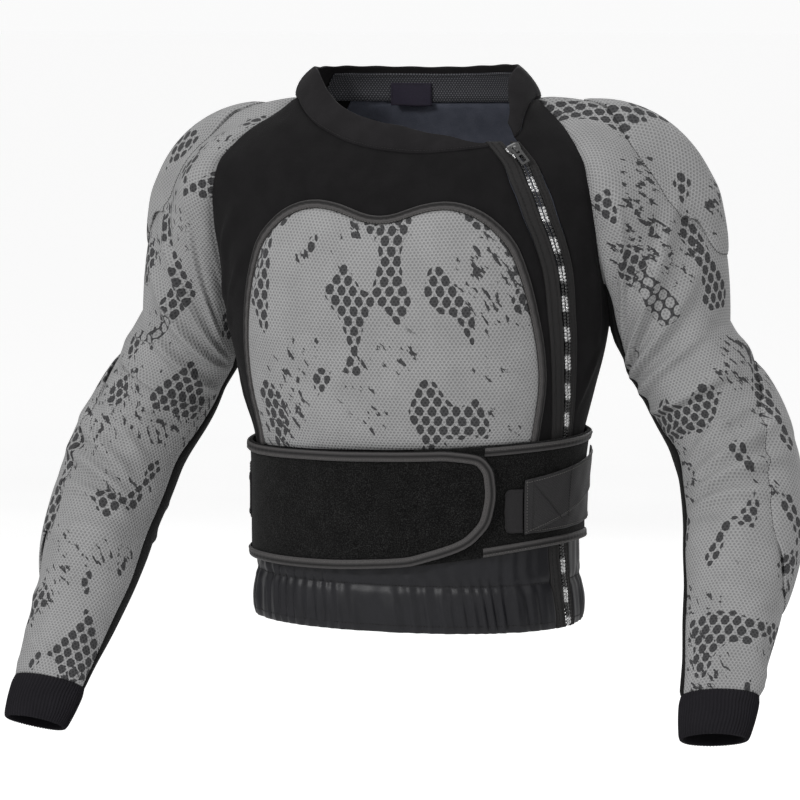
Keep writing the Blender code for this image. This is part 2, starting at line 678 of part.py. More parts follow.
def make_collar(front, back, left_neck, right_neck):
    right = FRONT_CELLS + 1
    base = np.concatenate([front[right + 2:], left_neck[1:-1], back, right_neck[::-1][1:-1], front[:right]])
    angle = np.degrees(np.arctan2(base[:, 0] / RIM_HALF_WIDTH, -base[:, 1] / RIM_FRONT_DEPTH))
    angle = np.unwrap(angle, period=360)
    points = collar_rows(base, angle, (0.0, 0.5, 1.0))
    points[0] += unit(points[1] - points[0]) * SEAM
    normals = grid_normals(points)
    outer = seamed(points, "lr", 2 * SEAM)
    inner = outer - normals * COLLAR_THICKNESS
    grid_mesh("collar", wall(outer, inner), "collar")
    chosen = np.flatnonzero((angle > 112) & (angle < 248))
    lift = COLLAR_THICKNESS + CLEAR
    foot = collar_rows(base, angle, (0.04,))[0]
    above = (NECK_MESH_SHARE - 0.5) / 0.5
    strip = np.stack([foot, points[1], points[1] * (1 - above) + points[2] * above])[:, chosen]
    upper = unit(normals[1] * (1 - above) + normals[2] * above)
    strip_normals = np.stack([normals[0], normals[1], upper])[:, chosen]
    outer = strip - strip_normals * lift
    inner = outer - strip_normals * LINING
    grid_mesh("back_neck_mesh", wall(outer, inner), "neck_mesh")
    above = (LABEL_TOP - 0.5) / 0.5
    label_line = (points[1] * (1 - above) + points[2] * above)[chosen]
    make_label(label_line, strip_normals[1], angle[chosen], lift + LINING + CLEAR)


def make_label(line, normals, angle, lift):
    """Bare woven label, sewn to the mesh strip by its top edge and hanging from it."""
    reach = math.degrees(LABEL_WIDTH / 2 / RIM_HALF_WIDTH)
    chosen = LABEL_ANGLE + np.linspace(-reach, reach, 4)
    top = np.stack([np.interp(chosen, angle, line[:, k]) for k in range(3)], -1)
    normal = unit(np.stack([np.interp(chosen, angle, normals[:, k]) for k in range(3)], -1))
    top = top - normal * (lift + LABEL_STAND_OFF)
    hang = np.array([0, 0, -LABEL_HEIGHT])
    outer = np.stack([top, top + hang])
    grid_mesh("neck_label", wall(outer, outer - normal * LINING / 2), "label")


def make_skirt():
    """Gathered skirt from under the belt to the hem, open at the zip."""
    pinch = -SKIRT_STITCH
    half = CHAIN_WIDTH / 2 + SEAM
    columns = 2 * SKIRT_FOLDS + 1
    shares = np.linspace(0, 1, columns)
    rows = []
    stations = ((-SKIRT_TOP, 0.0), (None, 0.0), (None, 0.75), (pinch, -0.15), (-BODY_LENGTH, 0.9))
    for number, (z, depth) in enumerate(stations):
        middle = zip_angle(-SKIRT_TOP if z is None else z)
        reach = z if z is not None else -BELT_DROP - BELT_HEIGHT
        start = middle + degrees_for(half + ZIP_TAPE_LEFT + 2 * SEAM, middle, reach)
        end = middle + 360 - degrees_for(half + ZIP_TAPE_RIGHT + 2 * SEAM, middle, reach)
        angle = start + (end - start) * shares
        if z is None:
            shift = SKIRT_FLARE if number == 1 else -SKIRT_GATHER
            height = np.minimum(belt_bottom(angle) + shift, -SKIRT_TOP - SKIRT_FLARE)
        else:
            height = np.full(columns, z)
        flat = smooth(shares, 0.0, 0.03) * smooth(shares, 1.0, 0.97)
        wave = np.where(np.arange(columns) % 2 == 0, -0.5, 0.5) * FOLD_DEPTH * depth * flat
        rows.append((on_torso(angle, height, wave), torso_normal(angle, height)))
    points = np.stack([p for p, _ in rows])
    normals = np.stack([n for _, n in rows])
    panel("hem_skirt", points, normals, CLOTH, "skirt", sides="tlr")


def belt_grid(angles, shares, lift):
    """Grid over the torso between the belt's edges."""
    top, bottom = belt_top(angles), belt_bottom(angles)
    z = top + (bottom - top) * np.asarray(shares)[:, None]
    angle = np.broadcast_to(angles, z.shape)
    return on_torso(angle, z, np.broadcast_to(lift, z.shape))


def wing_lift(angles):
    """How far the over wing is raised to pass over the end of the under wing."""
    return (BELT_THICKNESS + LAYER_CLEAR) * smooth(angles, -32, -6)


def belt_angles():
    """Columns of the belt under the wing, from its end at the front round the back."""
    return np.linspace(UNDER_WING_END, 360 + WING_START, 28)


def wing_angles():
    """Straight columns of the over wing."""
    return np.linspace(WING_START, WING_STRAIGHT, 12)


def between(angles, start, end):
    """The chosen columns from start to end, so that what lies on the belt bends where it does."""
    low, high = min(start, end), max(start, end)
    inside = angles[(angles > low + 1) & (angles < high - 1)]
    return np.concatenate([[low], inside, [high]])


def wing_grid(lift):
    """Over wing: straight columns from the side, then columns that gather in its rounded end."""
    shares = np.array(WING_END["down"])
    straight = wing_angles()
    rows = []
    for share, end in zip(shares, WING_END["angle"]):
        angle = np.concatenate([straight, WING_STRAIGHT + (end - WING_STRAIGHT) * np.array(WING_COLUMNS)])
        z = belt_top(angle) + (belt_bottom(angle) - belt_top(angle)) * share
        rows.append(on_torso(angle, z, BELT_CLEAR + wing_lift(angle) + lift))
    return np.stack(rows)


def make_belt():
    angles = belt_angles()
    shares = (0, 0.33, 0.67, 1)
    grid_mesh("belt_left", wall(
        seamed(belt_grid(angles, shares, BELT_CLEAR + BELT_THICKNESS), "r"),
        seamed(belt_grid(angles, shares, BELT_CLEAR), "r")), "belt")
    grid_mesh("belt_right", wall(
        seamed(wing_grid(BELT_THICKNESS), "l"), seamed(wing_grid(0.0), "l")), "belt")
    lift = BELT_CLEAR + BELT_THICKNESS + TAPE_CLEAR
    angles = between(angles, TAPE_START, 360 + WING_START - 1)
    share = TAPE_WIDTH / BELT_HEIGHT
    for name, ends in (("belt_binding_top", (0.0, share)), ("belt_binding_bottom", (1 - share, 1.0))):
        outer = belt_grid(angles, ends, lift + TAPE_THICKNESS)
        grid_mesh(name, wall(outer, belt_grid(angles, ends, lift)), "binding")
    make_wing_binding(BELT_CLEAR + BELT_THICKNESS + LAYER_CLEAR)


def make_wing_binding(lift):
    """Ribbed tape along the top, round the end and back along the bottom of the over wing."""
    straight = between(wing_angles(), WING_START + 1, WING_STRAIGHT)
    down = np.array(WING_END["down"])
    end = np.array(WING_END["angle"], float)
    steps = np.array(WING_COLUMNS[:-1])
    top = np.concatenate([straight, WING_STRAIGHT + (end[0] - WING_STRAIGHT) * steps])
    bottom = np.concatenate([straight, [WING_STRAIGHT + (end[-1] - WING_STRAIGHT) * steps[1]]])
    angle = np.concatenate([top, end, bottom[::-1]])
    share = np.concatenate([np.zeros(len(top)), down, np.ones(len(bottom))])
    path_z = belt_top(angle) + (belt_bottom(angle) - belt_top(angle)) * share
    inner_angle, inner_z = inset(angle, path_z, TAPE_WIDTH)
    edge = np.stack([angle, inner_angle], 1)
    z = np.stack([path_z, inner_z], 1)
    rise = lift + wing_lift(edge)
    outer = on_torso(edge, z, rise + TAPE_THICKNESS)
    grid_mesh("belt_binding_right", wall(outer, on_torso(edge, z, rise)), "binding")


def inset(angle, z, distance):
    """Path on the torso moved sideways, to the right of its direction, by a distance."""
    metric = 1 / degrees_for(1.0, angle, z)
    run_angle, run_z = np.gradient(angle) * metric, np.gradient(z)
    length = np.hypot(run_angle, run_z)
    return angle + run_z / length * distance / metric, z - run_angle / length * distance


def chest_path():
    """Outer edge of the chest binding: angle and height, from the lower right corner over to the left."""
    half = np.stack([CHEST_OUTLINE["across"], CHEST_OUTLINE["up"]], -1)
    path = np.concatenate([half * (-1, 1), half[::-1][1:]])
    steps = np.linspace(0, 1, len(path))
    fine = np.linspace(0, 1, 2 * len(path) - 1)
    angle = through(steps, path[:, 0], fine) * CHEST_PAD_ANGLE
    share = through(steps, path[:, 1], fine)
    bottom = belt_top(angle) + 2 * CLEAR
    top = -BELT_DROP + CHEST_PAD_HEIGHT
    return angle, bottom + (top - bottom) * share


def make_chest():
    angle, z = chest_path()
    inner_angle, inner_z = inset(angle, z, BINDING_WIDTH)
    inner_z[[0, -1]] = z[[0, -1]]
    low = 2 * CLEAR
    edge, height = np.stack([angle, inner_angle], 1), np.stack([z, inner_z], 1)
    grid_mesh("chest_binding", wall(
        on_torso(edge, height, np.full(edge.shape, low + BINDING_THICKNESS)),
        on_torso(edge, height, np.full(edge.shape, low))), "binding")
    pad_angle, pad_z = inset(angle, z, BINDING_WIDTH + LAYER_CLEAR)
    pad_z[[0, -1]] = z[[0, -1]]
    corner = 2 * CHEST_CORNER
    left_side = (pad_angle[:corner + 1], pad_z[:corner + 1])
    top = (pad_angle[corner:-corner], pad_z[corner:-corner])
    right_side = (pad_angle[::-1][:corner + 1], pad_z[::-1][:corner + 1])
    columns, rows = len(top[0]), corner + 1
    across = np.linspace(0, 1, columns)
    bottom_angle = left_side[0][0] + (right_side[0][0] - left_side[0][0]) * across
    bottom = (bottom_angle, belt_top(bottom_angle) + 2 * CLEAR)
    up = np.linspace(0, 1, rows)[:, None]
    grids = []
    for k in range(2):
        ruled = bottom[k] * (1 - up) + top[k] * up
        sided = left_side[k][:, None] * (1 - across) + right_side[k][:, None] * across
        corners = ((1 - up) * (bottom[k][0] * (1 - across) + bottom[k][-1] * across)
                   + up * (top[k][0] * (1 - across) + top[k][-1] * across))
        grids.append(ruled + sided - corners)
    grids = [grid[:, ::2] for grid in grids]
    crown = bulge(across[::2])[None, :] * bulge(up)
    lift = CHEST_PAD_EDGE + (CHEST_PAD_LIFT - CHEST_PAD_EDGE) * crown
    grid_mesh("chest_pad", wall(
        on_torso(grids[0], grids[1], lift), on_torso(grids[0], grids[1], np.full(lift.shape, low))), "mesh")


def bulge(share):
    """Crown of a pad across its width: nothing at the edges, full over most of the middle."""
    return (1 - np.abs(2 * share - 1) ** 3) ** 0.8


def make_arm_pad(name, side, slip):
    """Crowned pad over the sleeve with a rounded outline and thin edges."""
    shape = ARM_PADS[name]
    u = np.linspace(-1, 1, shape["columns"])[None, :]
    v = np.linspace(-1, 1, shape["lines"])[:, None]
    power = shape["square"]
    turn_share = u * (1 - 0.5 * np.abs(v) ** power * u * u) ** 0.8
    along_share = v * (1 - 0.5 * np.abs(u) ** power * v * v) ** 0.8
    low_turn, high_turn = shape["turns"]
    low, high = shape["rows"]
    turn = (low_turn + high_turn) / 2 + (high_turn - low_turn) / 2 * turn_share
    along = (low + high) / 2 + (high - low) / 2 * along_share
    crown = ((1 - np.abs(u) ** 3) * (1 - np.abs(v) ** 3)) ** 0.8
    lift = PAD_CLEAR + PAD_EDGE + (PAD_LIFT - PAD_EDGE) * crown
    outer = on_sleeve(turn, along, lift, slip)
    inner = on_sleeve(turn, along, np.full(lift.shape, PAD_CLEAR), slip)
    if side == "right":
        outer, inner = mirrored(outer), mirrored(inner)
    grid_mesh(name + "_" + side, wall(outer, inner), "mesh")


def make_cuff(side, slip):
    """Ribbed knit cuff from the end of the sleeve to the wrist."""
    turn = np.linspace(-180, 180, 2 * CUFF_RIBS, endpoint=False)
    start = 1.0 + 2 * SEAM / ARM_DROP
    rows = np.array([start, 1.0 + CUFF_LENGTH / ARM_DROP])
    angle, along = np.meshgrid(turn, rows)
    rib = np.where(np.arange(2 * CUFF_RIBS) % 2 == 0, -0.5, 0.5) * RIB_DEPTH
    outer = on_sleeve(angle, along, rib - RIB_DEPTH / 2, slip)
    inner = on_sleeve(angle, along, np.full(angle.shape, -CUFF_THICKNESS - RIB_DEPTH), slip)
    if side == "right":
        outer, inner = mirrored(outer), mirrored(inner)
    grid_mesh("cuff_" + side, wall(outer, inner, closed=True), "knit")


def make_straps():
    base = BELT_CLEAR + BELT_THICKNESS + LAYER_CLEAR
    for name, strap in STRAPS.items():
        columns = np.concatenate([belt_angles(), belt_angles() - 360, wing_angles()])
        angles = between(np.unique(columns), strap["start"], strap["end"])
        if strap["start"] > strap["end"]:
            angles = angles[::-1]
        share = (angles - strap["start"]) / (strap["end"] - strap["start"])
        top = strap["tops"][0] + (strap["tops"][1] - strap["tops"][0]) * share
        end = strap["ends"][0] + (strap["ends"][1] - strap["ends"][0]) * share
        z_top = -BELT_DROP - BELT_HEIGHT * top
        z_end = -BELT_DROP - BELT_HEIGHT * end
        z = z_top + (z_end - z_top) * np.array([0, 0.5, 1])[:, None]
        angle = np.broadcast_to(angles, z.shape)
        lift = base + strap["layer"] * (STRAP_THICKNESS + CLEAR)
        outer = on_torso(angle, z, np.full(z.shape, lift + STRAP_THICKNESS))
        inner = on_torso(angle, z, np.full(z.shape, lift))
        grid_mesh(name, wall(outer, inner), "strap")
    lift = BELT_CLEAR + BELT_THICKNESS + TAPE_CLEAR
    make_tab("strap_left_tab", STRAPS["strap_left_upper"]["start"] - 0.8, -1, lift)
    make_tab("strap_right_tab", STRAPS["strap_right"]["start"] + 0.8, 1, lift)


def make_tab(name, angle, direction, lift):
    """Bare pull tab with rounded corners at the end of a strap."""
    middle = -BELT_DROP - BELT_HEIGHT / 2 + 0.003
    corner = TAB_LENGTH * 0.3
    profile = []
    for share, cut in ((0.0, 0.0), (0.45, 0.0), (0.75, 0.12), (0.92, 0.45), (1.0, 1.0)):
        profile.append((share * TAB_LENGTH, TAB_HEIGHT / 2 - cut * corner))
    columns = []
    for reach, half in profile:
        turn = angle + direction * degrees_for(reach, angle, middle)
        columns.append([(turn, middle + half * side) for side in (1, 0.4, -0.4, -1)])
    grid = np.array(columns)
    turn, z = grid[..., 0], grid[..., 1]
    outer = on_torso(turn, z, np.full(z.shape, lift + TAB_THICKNESS))
    inner = on_torso(turn, z, np.full(z.shape, lift))
    grid_mesh(name, wall(outer, inner), "binding")


def slider_frame():
    """Matrix of the slider: X across the chain, Y down it, Z out of the cloth."""
    z = neck_height(zip_angle(-ZIP_TOP)) - SLIDER_LENGTH * 0.62
    here = torso_surface(zip_angle(z), z)
    below = torso_surface(zip_angle(z - 0.01), z - 0.01)
    down = unit(below - here)
    out = torso_normal(zip_angle(z), z)
    across = unit(np.cross(down, out))
    out = np.cross(across, down)
    origin = here + out * (CHAIN_HEIGHT + CLEAR)
    return Matrix([[across[k], down[k], out[k], origin[k]] for k in range(3)] + [[0, 0, 0, 1]])


def make_slider():
    frame = slider_frame()
    half = SLIDER_LENGTH / 2
    outline = ((-1.0, 0.55, 0.8), (-0.8, 1.0, 1.0), (-0.2, 0.95, 1.0), (0.4, 0.72, 1.0), (1.0, 0.66, 0.8))
    rings = []
    for along, wide, thick in outline:
        x, z = SLIDER_TOP_WIDTH / 2 * wide, SLIDER_PLATE * thick
        rings.append([(x, along * half, 0.0), (x, along * half, z * 0.6), (x * 0.8, along * half, z),
                      (-x * 0.8, along * half, z), (-x, along * half, z * 0.6), (-x, along * half, 0.0)])
    slider = grid_mesh("zip_slider", tube(np.array(rings)), "zip")
    arch = []
    for angle in np.linspace(-8, 188, 12):
        turn = math.radians(angle)
        ring = []
        for side, rise in ((-1, -1), (-1, 1), (1, 1), (1, -1)):
            length = BRIDGE_HALF_LENGTH + rise * BRIDGE_THICKNESS / 2
            height = SLIDER_PLATE + (BRIDGE_HEIGHT + rise * BRIDGE_THICKNESS / 2) * math.sin(turn)
            ring.append((side * BRIDGE_WIDTH / 2, length * math.cos(turn), height))
        arch.append(ring)
    bridge = grid_mesh("bridge_to_join", tube(np.array(arch)), "zip")
    join = slider.modifiers.new("bridge", "BOOLEAN")
    join.operation = "UNION"
    join.object = bridge
    collection("cutters").objects.link(bridge)
    collection("body_protector").objects.unlink(bridge)
    bridge.hide_render = True
    bridge.display_type = "WIRE"
    slider.matrix_world = frame
    bridge.matrix_world = frame
    return frame


def rounded_rectangle(curve, x, low, high, corner, segments=3):
    """Closed spline round a rectangle with rounded corners."""
    points = []
    for cx, cy, start in ((x, high, 0), (-x, high, 90), (-x, low, 180), (x, low, 270)):
        sx, sy = math.copysign(corner, cx), corner if cy == high else -corner
        for k in range(segments + 1):
            turn = math.radians(start + 90 * k / segments)
            points.append((cx - sx + corner * math.cos(turn), cy - sy + corner * math.sin(turn)))
    spline = curve.splines.new("POLY")
    spline.points.add(len(points) - 1)
    for point, (px, py) in zip(spline.points, points):
        point.co = (px, py, 0, 1)
    spline.use_cyclic_u = True


def make_pull(frame):
    """Flat pull: a bar under the slider's bridge, a slot that clears the bridge, and a plate with a hole."""
    half_bar = PULL_THICKNESS / 2
    slot_end = BRIDGE_HALF_LENGTH + BRIDGE_THICKNESS + 2 * CLEAR
    slot_half = BRIDGE_WIDTH / 2 + CLEAR
    curve = bpy.data.curves.new("zip_pull", "CURVE")
    curve.dimensions = "2D"
    curve.fill_mode = "BOTH"
    curve.extrude = half_bar
    rounded_rectangle(curve, PULL_WIDTH / 2, -half_bar, PULL_LENGTH - half_bar, half_bar * 1.8)
    rounded_rectangle(curve, slot_half, half_bar, slot_end, 0.0003, segments=1)
    hole_low, hole_high = slot_end + PULL_RIM, PULL_LENGTH - half_bar - PULL_RIM
    rounded_rectangle(curve, PULL_WIDTH / 2 - PULL_RIM, hole_low, hole_high, PULL_RIM * 0.7)
    pull = add_object("zip_pull", curve, "zip")
    pull.matrix_world = frame @ Matrix.Translation((0, 0, SLIDER_PLATE + PULL_AXIS_HEIGHT))
    return pull


def main():
    for item in list(bpy.data.objects):
        bpy.data.objects.remove(item)
    nets = torso_nets()
    front_edge, back_edge = make_torso(nets)
    left_neck = make_sleeve("left", 0.0)
    right_neck = make_sleeve("right", RIGHT_SLEEVE_SLIP)
    make_collar(front_edge, back_edge, left_neck, right_neck)
    make_skirt()
    make_belt()
    make_straps()
    make_chest()
    for side, slip in (("left", 0.0), ("right", RIGHT_SLEEVE_SLIP)):
        make_cuff(side, slip)
        for name in ARM_PADS:
            make_arm_pad(name, side, slip)
    make_pull(make_slider())


if __name__ == "__main__":
    main()
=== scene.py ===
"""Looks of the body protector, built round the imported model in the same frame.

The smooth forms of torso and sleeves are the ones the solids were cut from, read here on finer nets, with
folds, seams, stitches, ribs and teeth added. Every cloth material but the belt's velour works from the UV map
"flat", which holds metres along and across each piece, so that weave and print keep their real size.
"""
import math

import bpy
import numpy as np
from mathutils import Matrix, Vector


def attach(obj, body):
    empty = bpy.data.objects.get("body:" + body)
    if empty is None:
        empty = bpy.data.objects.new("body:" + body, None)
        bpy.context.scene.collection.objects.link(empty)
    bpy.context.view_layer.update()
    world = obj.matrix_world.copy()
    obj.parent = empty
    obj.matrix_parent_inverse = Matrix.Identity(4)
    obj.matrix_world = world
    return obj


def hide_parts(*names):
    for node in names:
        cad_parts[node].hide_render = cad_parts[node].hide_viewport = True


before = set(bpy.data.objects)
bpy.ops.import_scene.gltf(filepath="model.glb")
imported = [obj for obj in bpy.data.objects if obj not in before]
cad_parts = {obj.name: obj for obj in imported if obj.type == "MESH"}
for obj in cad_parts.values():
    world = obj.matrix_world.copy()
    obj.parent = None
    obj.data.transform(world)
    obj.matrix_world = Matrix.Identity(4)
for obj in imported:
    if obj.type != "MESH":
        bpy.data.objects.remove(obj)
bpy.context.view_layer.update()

# Body, measured on the outside of the cloth
CHEST_HALF_WIDTH = 0.190
CHEST_FRONT = 0.130
CHEST_BACK = 0.128
BODY_LENGTH = 0.517
ARMPIT_DROP = 0.225
ARMPIT_ANGLE = 97.0
SECTION_POWER = 2.2

# Cloth and seams
CLOTH = 0.0018
LINING = 0.0010
SEAM = 0.0005
CLEAR = 0.0005
LAYER_CLEAR = 0.0012

# Neck and collar
NECK_DROP = 0.052
COLLAR_HEIGHT = 0.032
COLLAR_THICKNESS = 0.0026
RIM_HALF_WIDTH = 0.102
RIM_FRONT_DEPTH = 0.083
RIM_BACK_DEPTH = 0.070
NECK_MESH_SHARE = 0.80
LABEL_TOP = 0.52
LABEL_WIDTH = 0.042
LABEL_HEIGHT = 0.023
LABEL_ANGLE = 197.0
LABEL_STAND_OFF = 0.0002
LINING_DEPTH = 0.130

# Arms
SHOULDER_REACH = 0.240
ARM_SPREAD = 0.106
ARM_SWING = 0.160
ARM_DROP = 0.336
ARM_RADIUS = 0.060
RIGHT_SLEEVE_SLIP = 0.025
RIGHT_SHOULDER_DROOP = 0.17
WRIST_UPRIGHT = 0.40
WRIST_FLATNESS = 0.36
CUFF_LENGTH = 0.048
CUFF_THICKNESS = 0.0024

# Chest panel
CHEST_PAD_ANGLE = 57.0
CHEST_PAD_HEIGHT = 0.246
CHEST_PAD_LIFT = 0.0110
BINDING_WIDTH = 0.0080
BINDING_THICKNESS = 0.0026

# Arm pads
PAD_LIFT = 0.0075
PAD_CLEAR = 0.0019

# Belt and straps
BELT_HEIGHT = 0.115
BELT_THICKNESS = 0.0030
BELT_CLEAR = 0.0026
TAPE_WIDTH = 0.0085
TAPE_THICKNESS = 0.0012
TAPE_CLEAR = 0.0006
STRAP_THICKNESS = 0.0015
TAB_LENGTH = 0.016
TAB_HEIGHT = 0.041
TAB_THICKNESS = 0.0020

# Skirt
SKIRT_LENGTH = 0.093
SKIRT_STITCH_UP = 0.045
SKIRT_TOP = BODY_LENGTH - SKIRT_LENGTH
SKIRT_STITCH = BODY_LENGTH - SKIRT_STITCH_UP

# Zip
ZIP_TAPE_RIGHT = 0.0150
ZIP_TAPE_LEFT = 0.0090
ZIP_TAPE_THICKNESS = 0.0016
CHAIN_WIDTH = 0.0070
CHAIN_HEIGHT = 0.0012
SLIDER_LENGTH = 0.0150

# Torso sections. level: -1 hem, 0 armpit, 1 side of the neck; the others are shares of the chest sizes
TORSO = {
    "level": (-1.0, -0.76, -0.36, -0.22, 0, 0.11, 0.29, 0.47, 0.64, 0.73, 0.80, 0.87, 0.91, 1.0),
    "width": (0.88, 0.86, 0.885, 0.94, 1.015, 1.035, 1.07, 1.13, 1.18, 1.155, 1.04, 0.905, 0.805, 0.655),
    "front": (0.90, 0.87, 0.885, 0.935, 0.995, 1.01, 1.0, 0.96, 0.89, 0.83, 0.77, 0.715, 0.68, 0.61),
    "back": (0.90, 0.85, 0.86, 0.93, 1.0, 1.02, 1.03, 1.0, 0.94, 0.89, 0.83, 0.76, 0.71, 0.61),
}

# Seam between yoke and sleeve: angle from the front, for the torso's level
RAGLAN_FRONT = {"level": (0, 0.11, 0.29, 0.47, 0.64, 0.73, 0.80, 0.87, 0.91, 1.0),
                "angle": (ARMPIT_ANGLE, 88, 75, 65, 57.5, 57, 62, 70, 79, 88)}
RAGLAN_BACK = {"level": (0, 0.11, 0.29, 0.47, 0.64, 0.80, 0.91, 1.0),
               "angle": (ARMPIT_ANGLE, 104, 112, 119, 124, 124, 120, 116)}

# Neck seam: how far it lies below the origin, as a share of NECK_DROP
NECK_SEAM = {"angle": (-180, -130, -110, -84, -57, -35, -20, -8, 4, 19, 36, 52, 72, 84, 110, 130, 180),
             "drop": (0.04, 0, 0, 0, 0.06, 0.35, 0.60, 0.84, 0.98, 0.93, 0.76, 0.41, 0.08, 0, 0, 0, 0.04)}

# Height of the collar band over the neck seam, as a share of COLLAR_HEIGHT; it runs out at the zip
COLLAR_BAND = {"angle": (-180, -90, -57, -46, -36, -24, -7, 4, 14, 22, 30, 36, 42, 50, 58, 66, 75, 90, 180),
               "height": (0.98, 0.94, 0.92, 0.80, 0.71, 0.75, 0.80, 0.78, 0.69, 0.56, 0.42, 0.24, 0.12, 0.36,
                          0.62, 0.75, 0.84, 0.94, 0.98),
               "lean": (0.98, 0.94, 0.88, 0.90, 0.92, 0.97, 1.0, 1.0, 0.84, 0.60, 0.38, 0.20, 0.12, 0.17,
                        0.36, 0.62, 0.83, 0.94, 0.98)}

# Line of the zip: angle from the front at each drop, as a share of BODY_LENGTH
ZIP_LINE = {"drop": (0.07, 0.13, 0.20, 0.26, 0.30, 0.42, 0.49, 0.56, 0.64, 0.85, 1.0),
            "angle": (35, 36.3, 42.4, 49.5, 54, 61, 64.6, 69, 74, 75, 78.6)}

# Outline of the chest panel from its lower corner to the dip in the middle of its top: shares of
# CHEST_PAD_ANGLE across and of CHEST_PAD_HEIGHT up
CHEST_OUTLINE = {"across": (1.0, 0.98, 0.93, 0.86, 0.77, 0.66, 0.545, 0.447, 0.35, 0.256, 0.154, 0.065, 0.0),
                 "up": (0.0, 0.22, 0.36, 0.51, 0.68, 0.82, 0.905, 0.958, 0.99, 1.0, 0.984, 0.952, 0.94)}
CHEST_CORNER = 5

# Edges of the belt: how far below BELT_DROP each lies, as shares of BELT_HEIGHT
BELT_UP = 0.174
BELT_DROP = BODY_LENGTH - BELT_UP
BELT_EDGES = {"angle": (-180, -120, -60, 0, 18, 31, 52, 90, 130, 180),
              "top": (-0.16, -0.06, 0.0, -0.03, -0.05, -0.07, -0.10, -0.13, -0.15, -0.16),
              "bottom": (0.93, 0.98, 1.01, 0.966, 0.91, 0.868, 0.81, 0.785, 0.86, 0.93)}

# Rounded end of the over wing: angle at each share of the belt's height from the top
WING_END = {"down": (0, 0.04, 0.14, 0.32, 0.56, 0.78, 0.92, 1.0),
            "angle": (20, 29, 35, 37.6, 37.4, 33.3, 24, 9)}
WING_START = -100.0
TAPE_START = 39.5
UNDER_WING_END = 10.0

# Arm rings from under the armpit to the cuff: shares of ARM_DROP, ARM_SPREAD, ARM_SWING and ARM_RADIUS
ARM = {
    "drop": (0.07, 0.145, 0.22, 0.305, 0.39, 0.48, 0.565, 0.65, 0.74, 0.825, 0.91, 0.99),
    "spread": (0.18, 0.33, 0.455, 0.61, 0.73, 0.80, 0.86, 0.89, 0.915, 0.935, 0.955, 0.97),
    "swing": (0.27, 0.27, 0.28, 0.24, 0.15, 0.04, -0.08, -0.22, -0.35, -0.52, -0.70, -0.86),
    "radius": (0.95, 0.955, 0.955, 0.95, 0.93, 0.915, 0.90, 0.87, 0.82, 0.755, 0.69, 0.64),
}

# How the sleeve leaves its seam, by angle round the arm (0 outside, 90 front, 180 armpit): direction out,
# back and up, and how far it holds that direction and the arm's own, as shares of the distance between
SHOULDER = {
    "angle": (-180, -151, -110, -70, -36, 0, 36, 70, 110, 151, 180),
    "out": (0.4, 0.75, 0.90, 1.0, 1.0, 1.0, 1.0, 0.90, 0.70, 0.70, 0.4),
    "back": (0, 0.15, 0.30, 0.15, 0, 0, 0, -0.35, -0.45, -0.15, 0),
    "up": (-0.9, -0.6, -0.2, 0.02, 0.02, 0.0, 0.02, 0.0, -0.20, -0.6, -0.9),
    "leave": (0.3, 0.45, 0.60, 0.90, 1.05, 1.08, 1.05, 0.90, 0.60, 0.45, 0.3),
    "arrive": (0.6, 0.8, 1.1, 1.5, 1.80, 1.90, 1.80, 1.5, 1.1, 0.8, 0.6),
}
NECK_PART = 36.0

# Arm pads: reach round the arm and along it, cells each way, and how square the outline is
ARM_PADS = {
    "shoulder_pad": {"turns": (-62, 54), "rows": (-0.86, -0.13), "columns": 11, "lines": 12, "square": 2.6},
    "elbow_pad": {"turns": (-118, 48), "rows": (0.13, 0.76), "columns": 13, "lines": 9, "square": 3.0},
}

# Elastic straps: angles of their ends, and their upper and lower edges at both as shares of BELT_HEIGHT
STRAPS = {
    "strap_left_lower": {"start": 51.5, "end": 108, "tops": (0.61, 0.25), "ends": (0.67, 0.62), "layer": 0},
    "strap_left_upper": {"start": 50.5, "end": 108, "tops": (0.21, 0.01), "ends": (0.675, 0.30), "layer": 1},
    "strap_right": {"start": -80, "end": -128, "tops": (0.21, 0.02), "ends": (0.70, 0.45), "layer": 0},
}

# Nets: rows of the torso above the armpit, shared with the columns of the sleeve
YOKE_ROWS = (0, 0.20, 0.33, 0.46, 0.58, 0.70, 0.80, 0.90, 1.0)
FRONT_CELLS = 11
LEFT_CELLS = 3
BACK_CELLS = 12
ZIP_TOP = 0.040


def through(xs, ys, x):
    """Smooth curve through the points (xs, ys), read at x: cubic pieces with Catmull-Rom slopes."""
    xs = np.asarray(xs, float)
    ys = np.asarray(ys, float)
    x = np.clip(np.asarray(x, float), xs[0], xs[-1])
    slopes = np.gradient(ys, xs)
    i = np.clip(np.searchsorted(xs, x, side="right") - 1, 0, len(xs) - 2)
    span = xs[i + 1] - xs[i]
    t = (x - xs[i]) / span
    start = (2 * t**3 - 3 * t**2 + 1) * ys[i] + (t**3 - 2 * t**2 + t) * span * slopes[i]
    end = (3 * t**2 - 2 * t**3) * ys[i + 1] + (t**3 - t**2) * span * slopes[i + 1]
    return start + end


def unit(vectors):
    return vectors / np.linalg.norm(vectors, axis=-1, keepdims=True)


def smooth(x, low, high):
    """0 below low, 1 above high, and a smooth step between them."""
    t = np.clip((np.asarray(x, float) - low) / (high - low), 0, 1)
    return t * t * (3 - 2 * t)


def around(angle):
    """An angle brought between -180 and 180 degrees."""
    return (np.asarray(angle, float) + 180) % 360 - 180


def height_at(level):
    """Height of a torso level: -1 hem, 0 armpit, 1 side of the neck."""
    level = np.asarray(level, float)
    below = -ARMPIT_DROP + level * (BODY_LENGTH - ARMPIT_DROP)
    return np.where(level < 0, below, ARMPIT_DROP * (level - 1))


def level_at(z):
    z = np.asarray(z, float)
    below = (z + ARMPIT_DROP) / (BODY_LENGTH - ARMPIT_DROP)
    return np.where(z < -ARMPIT_DROP, below, 1 + z / ARMPIT_DROP)


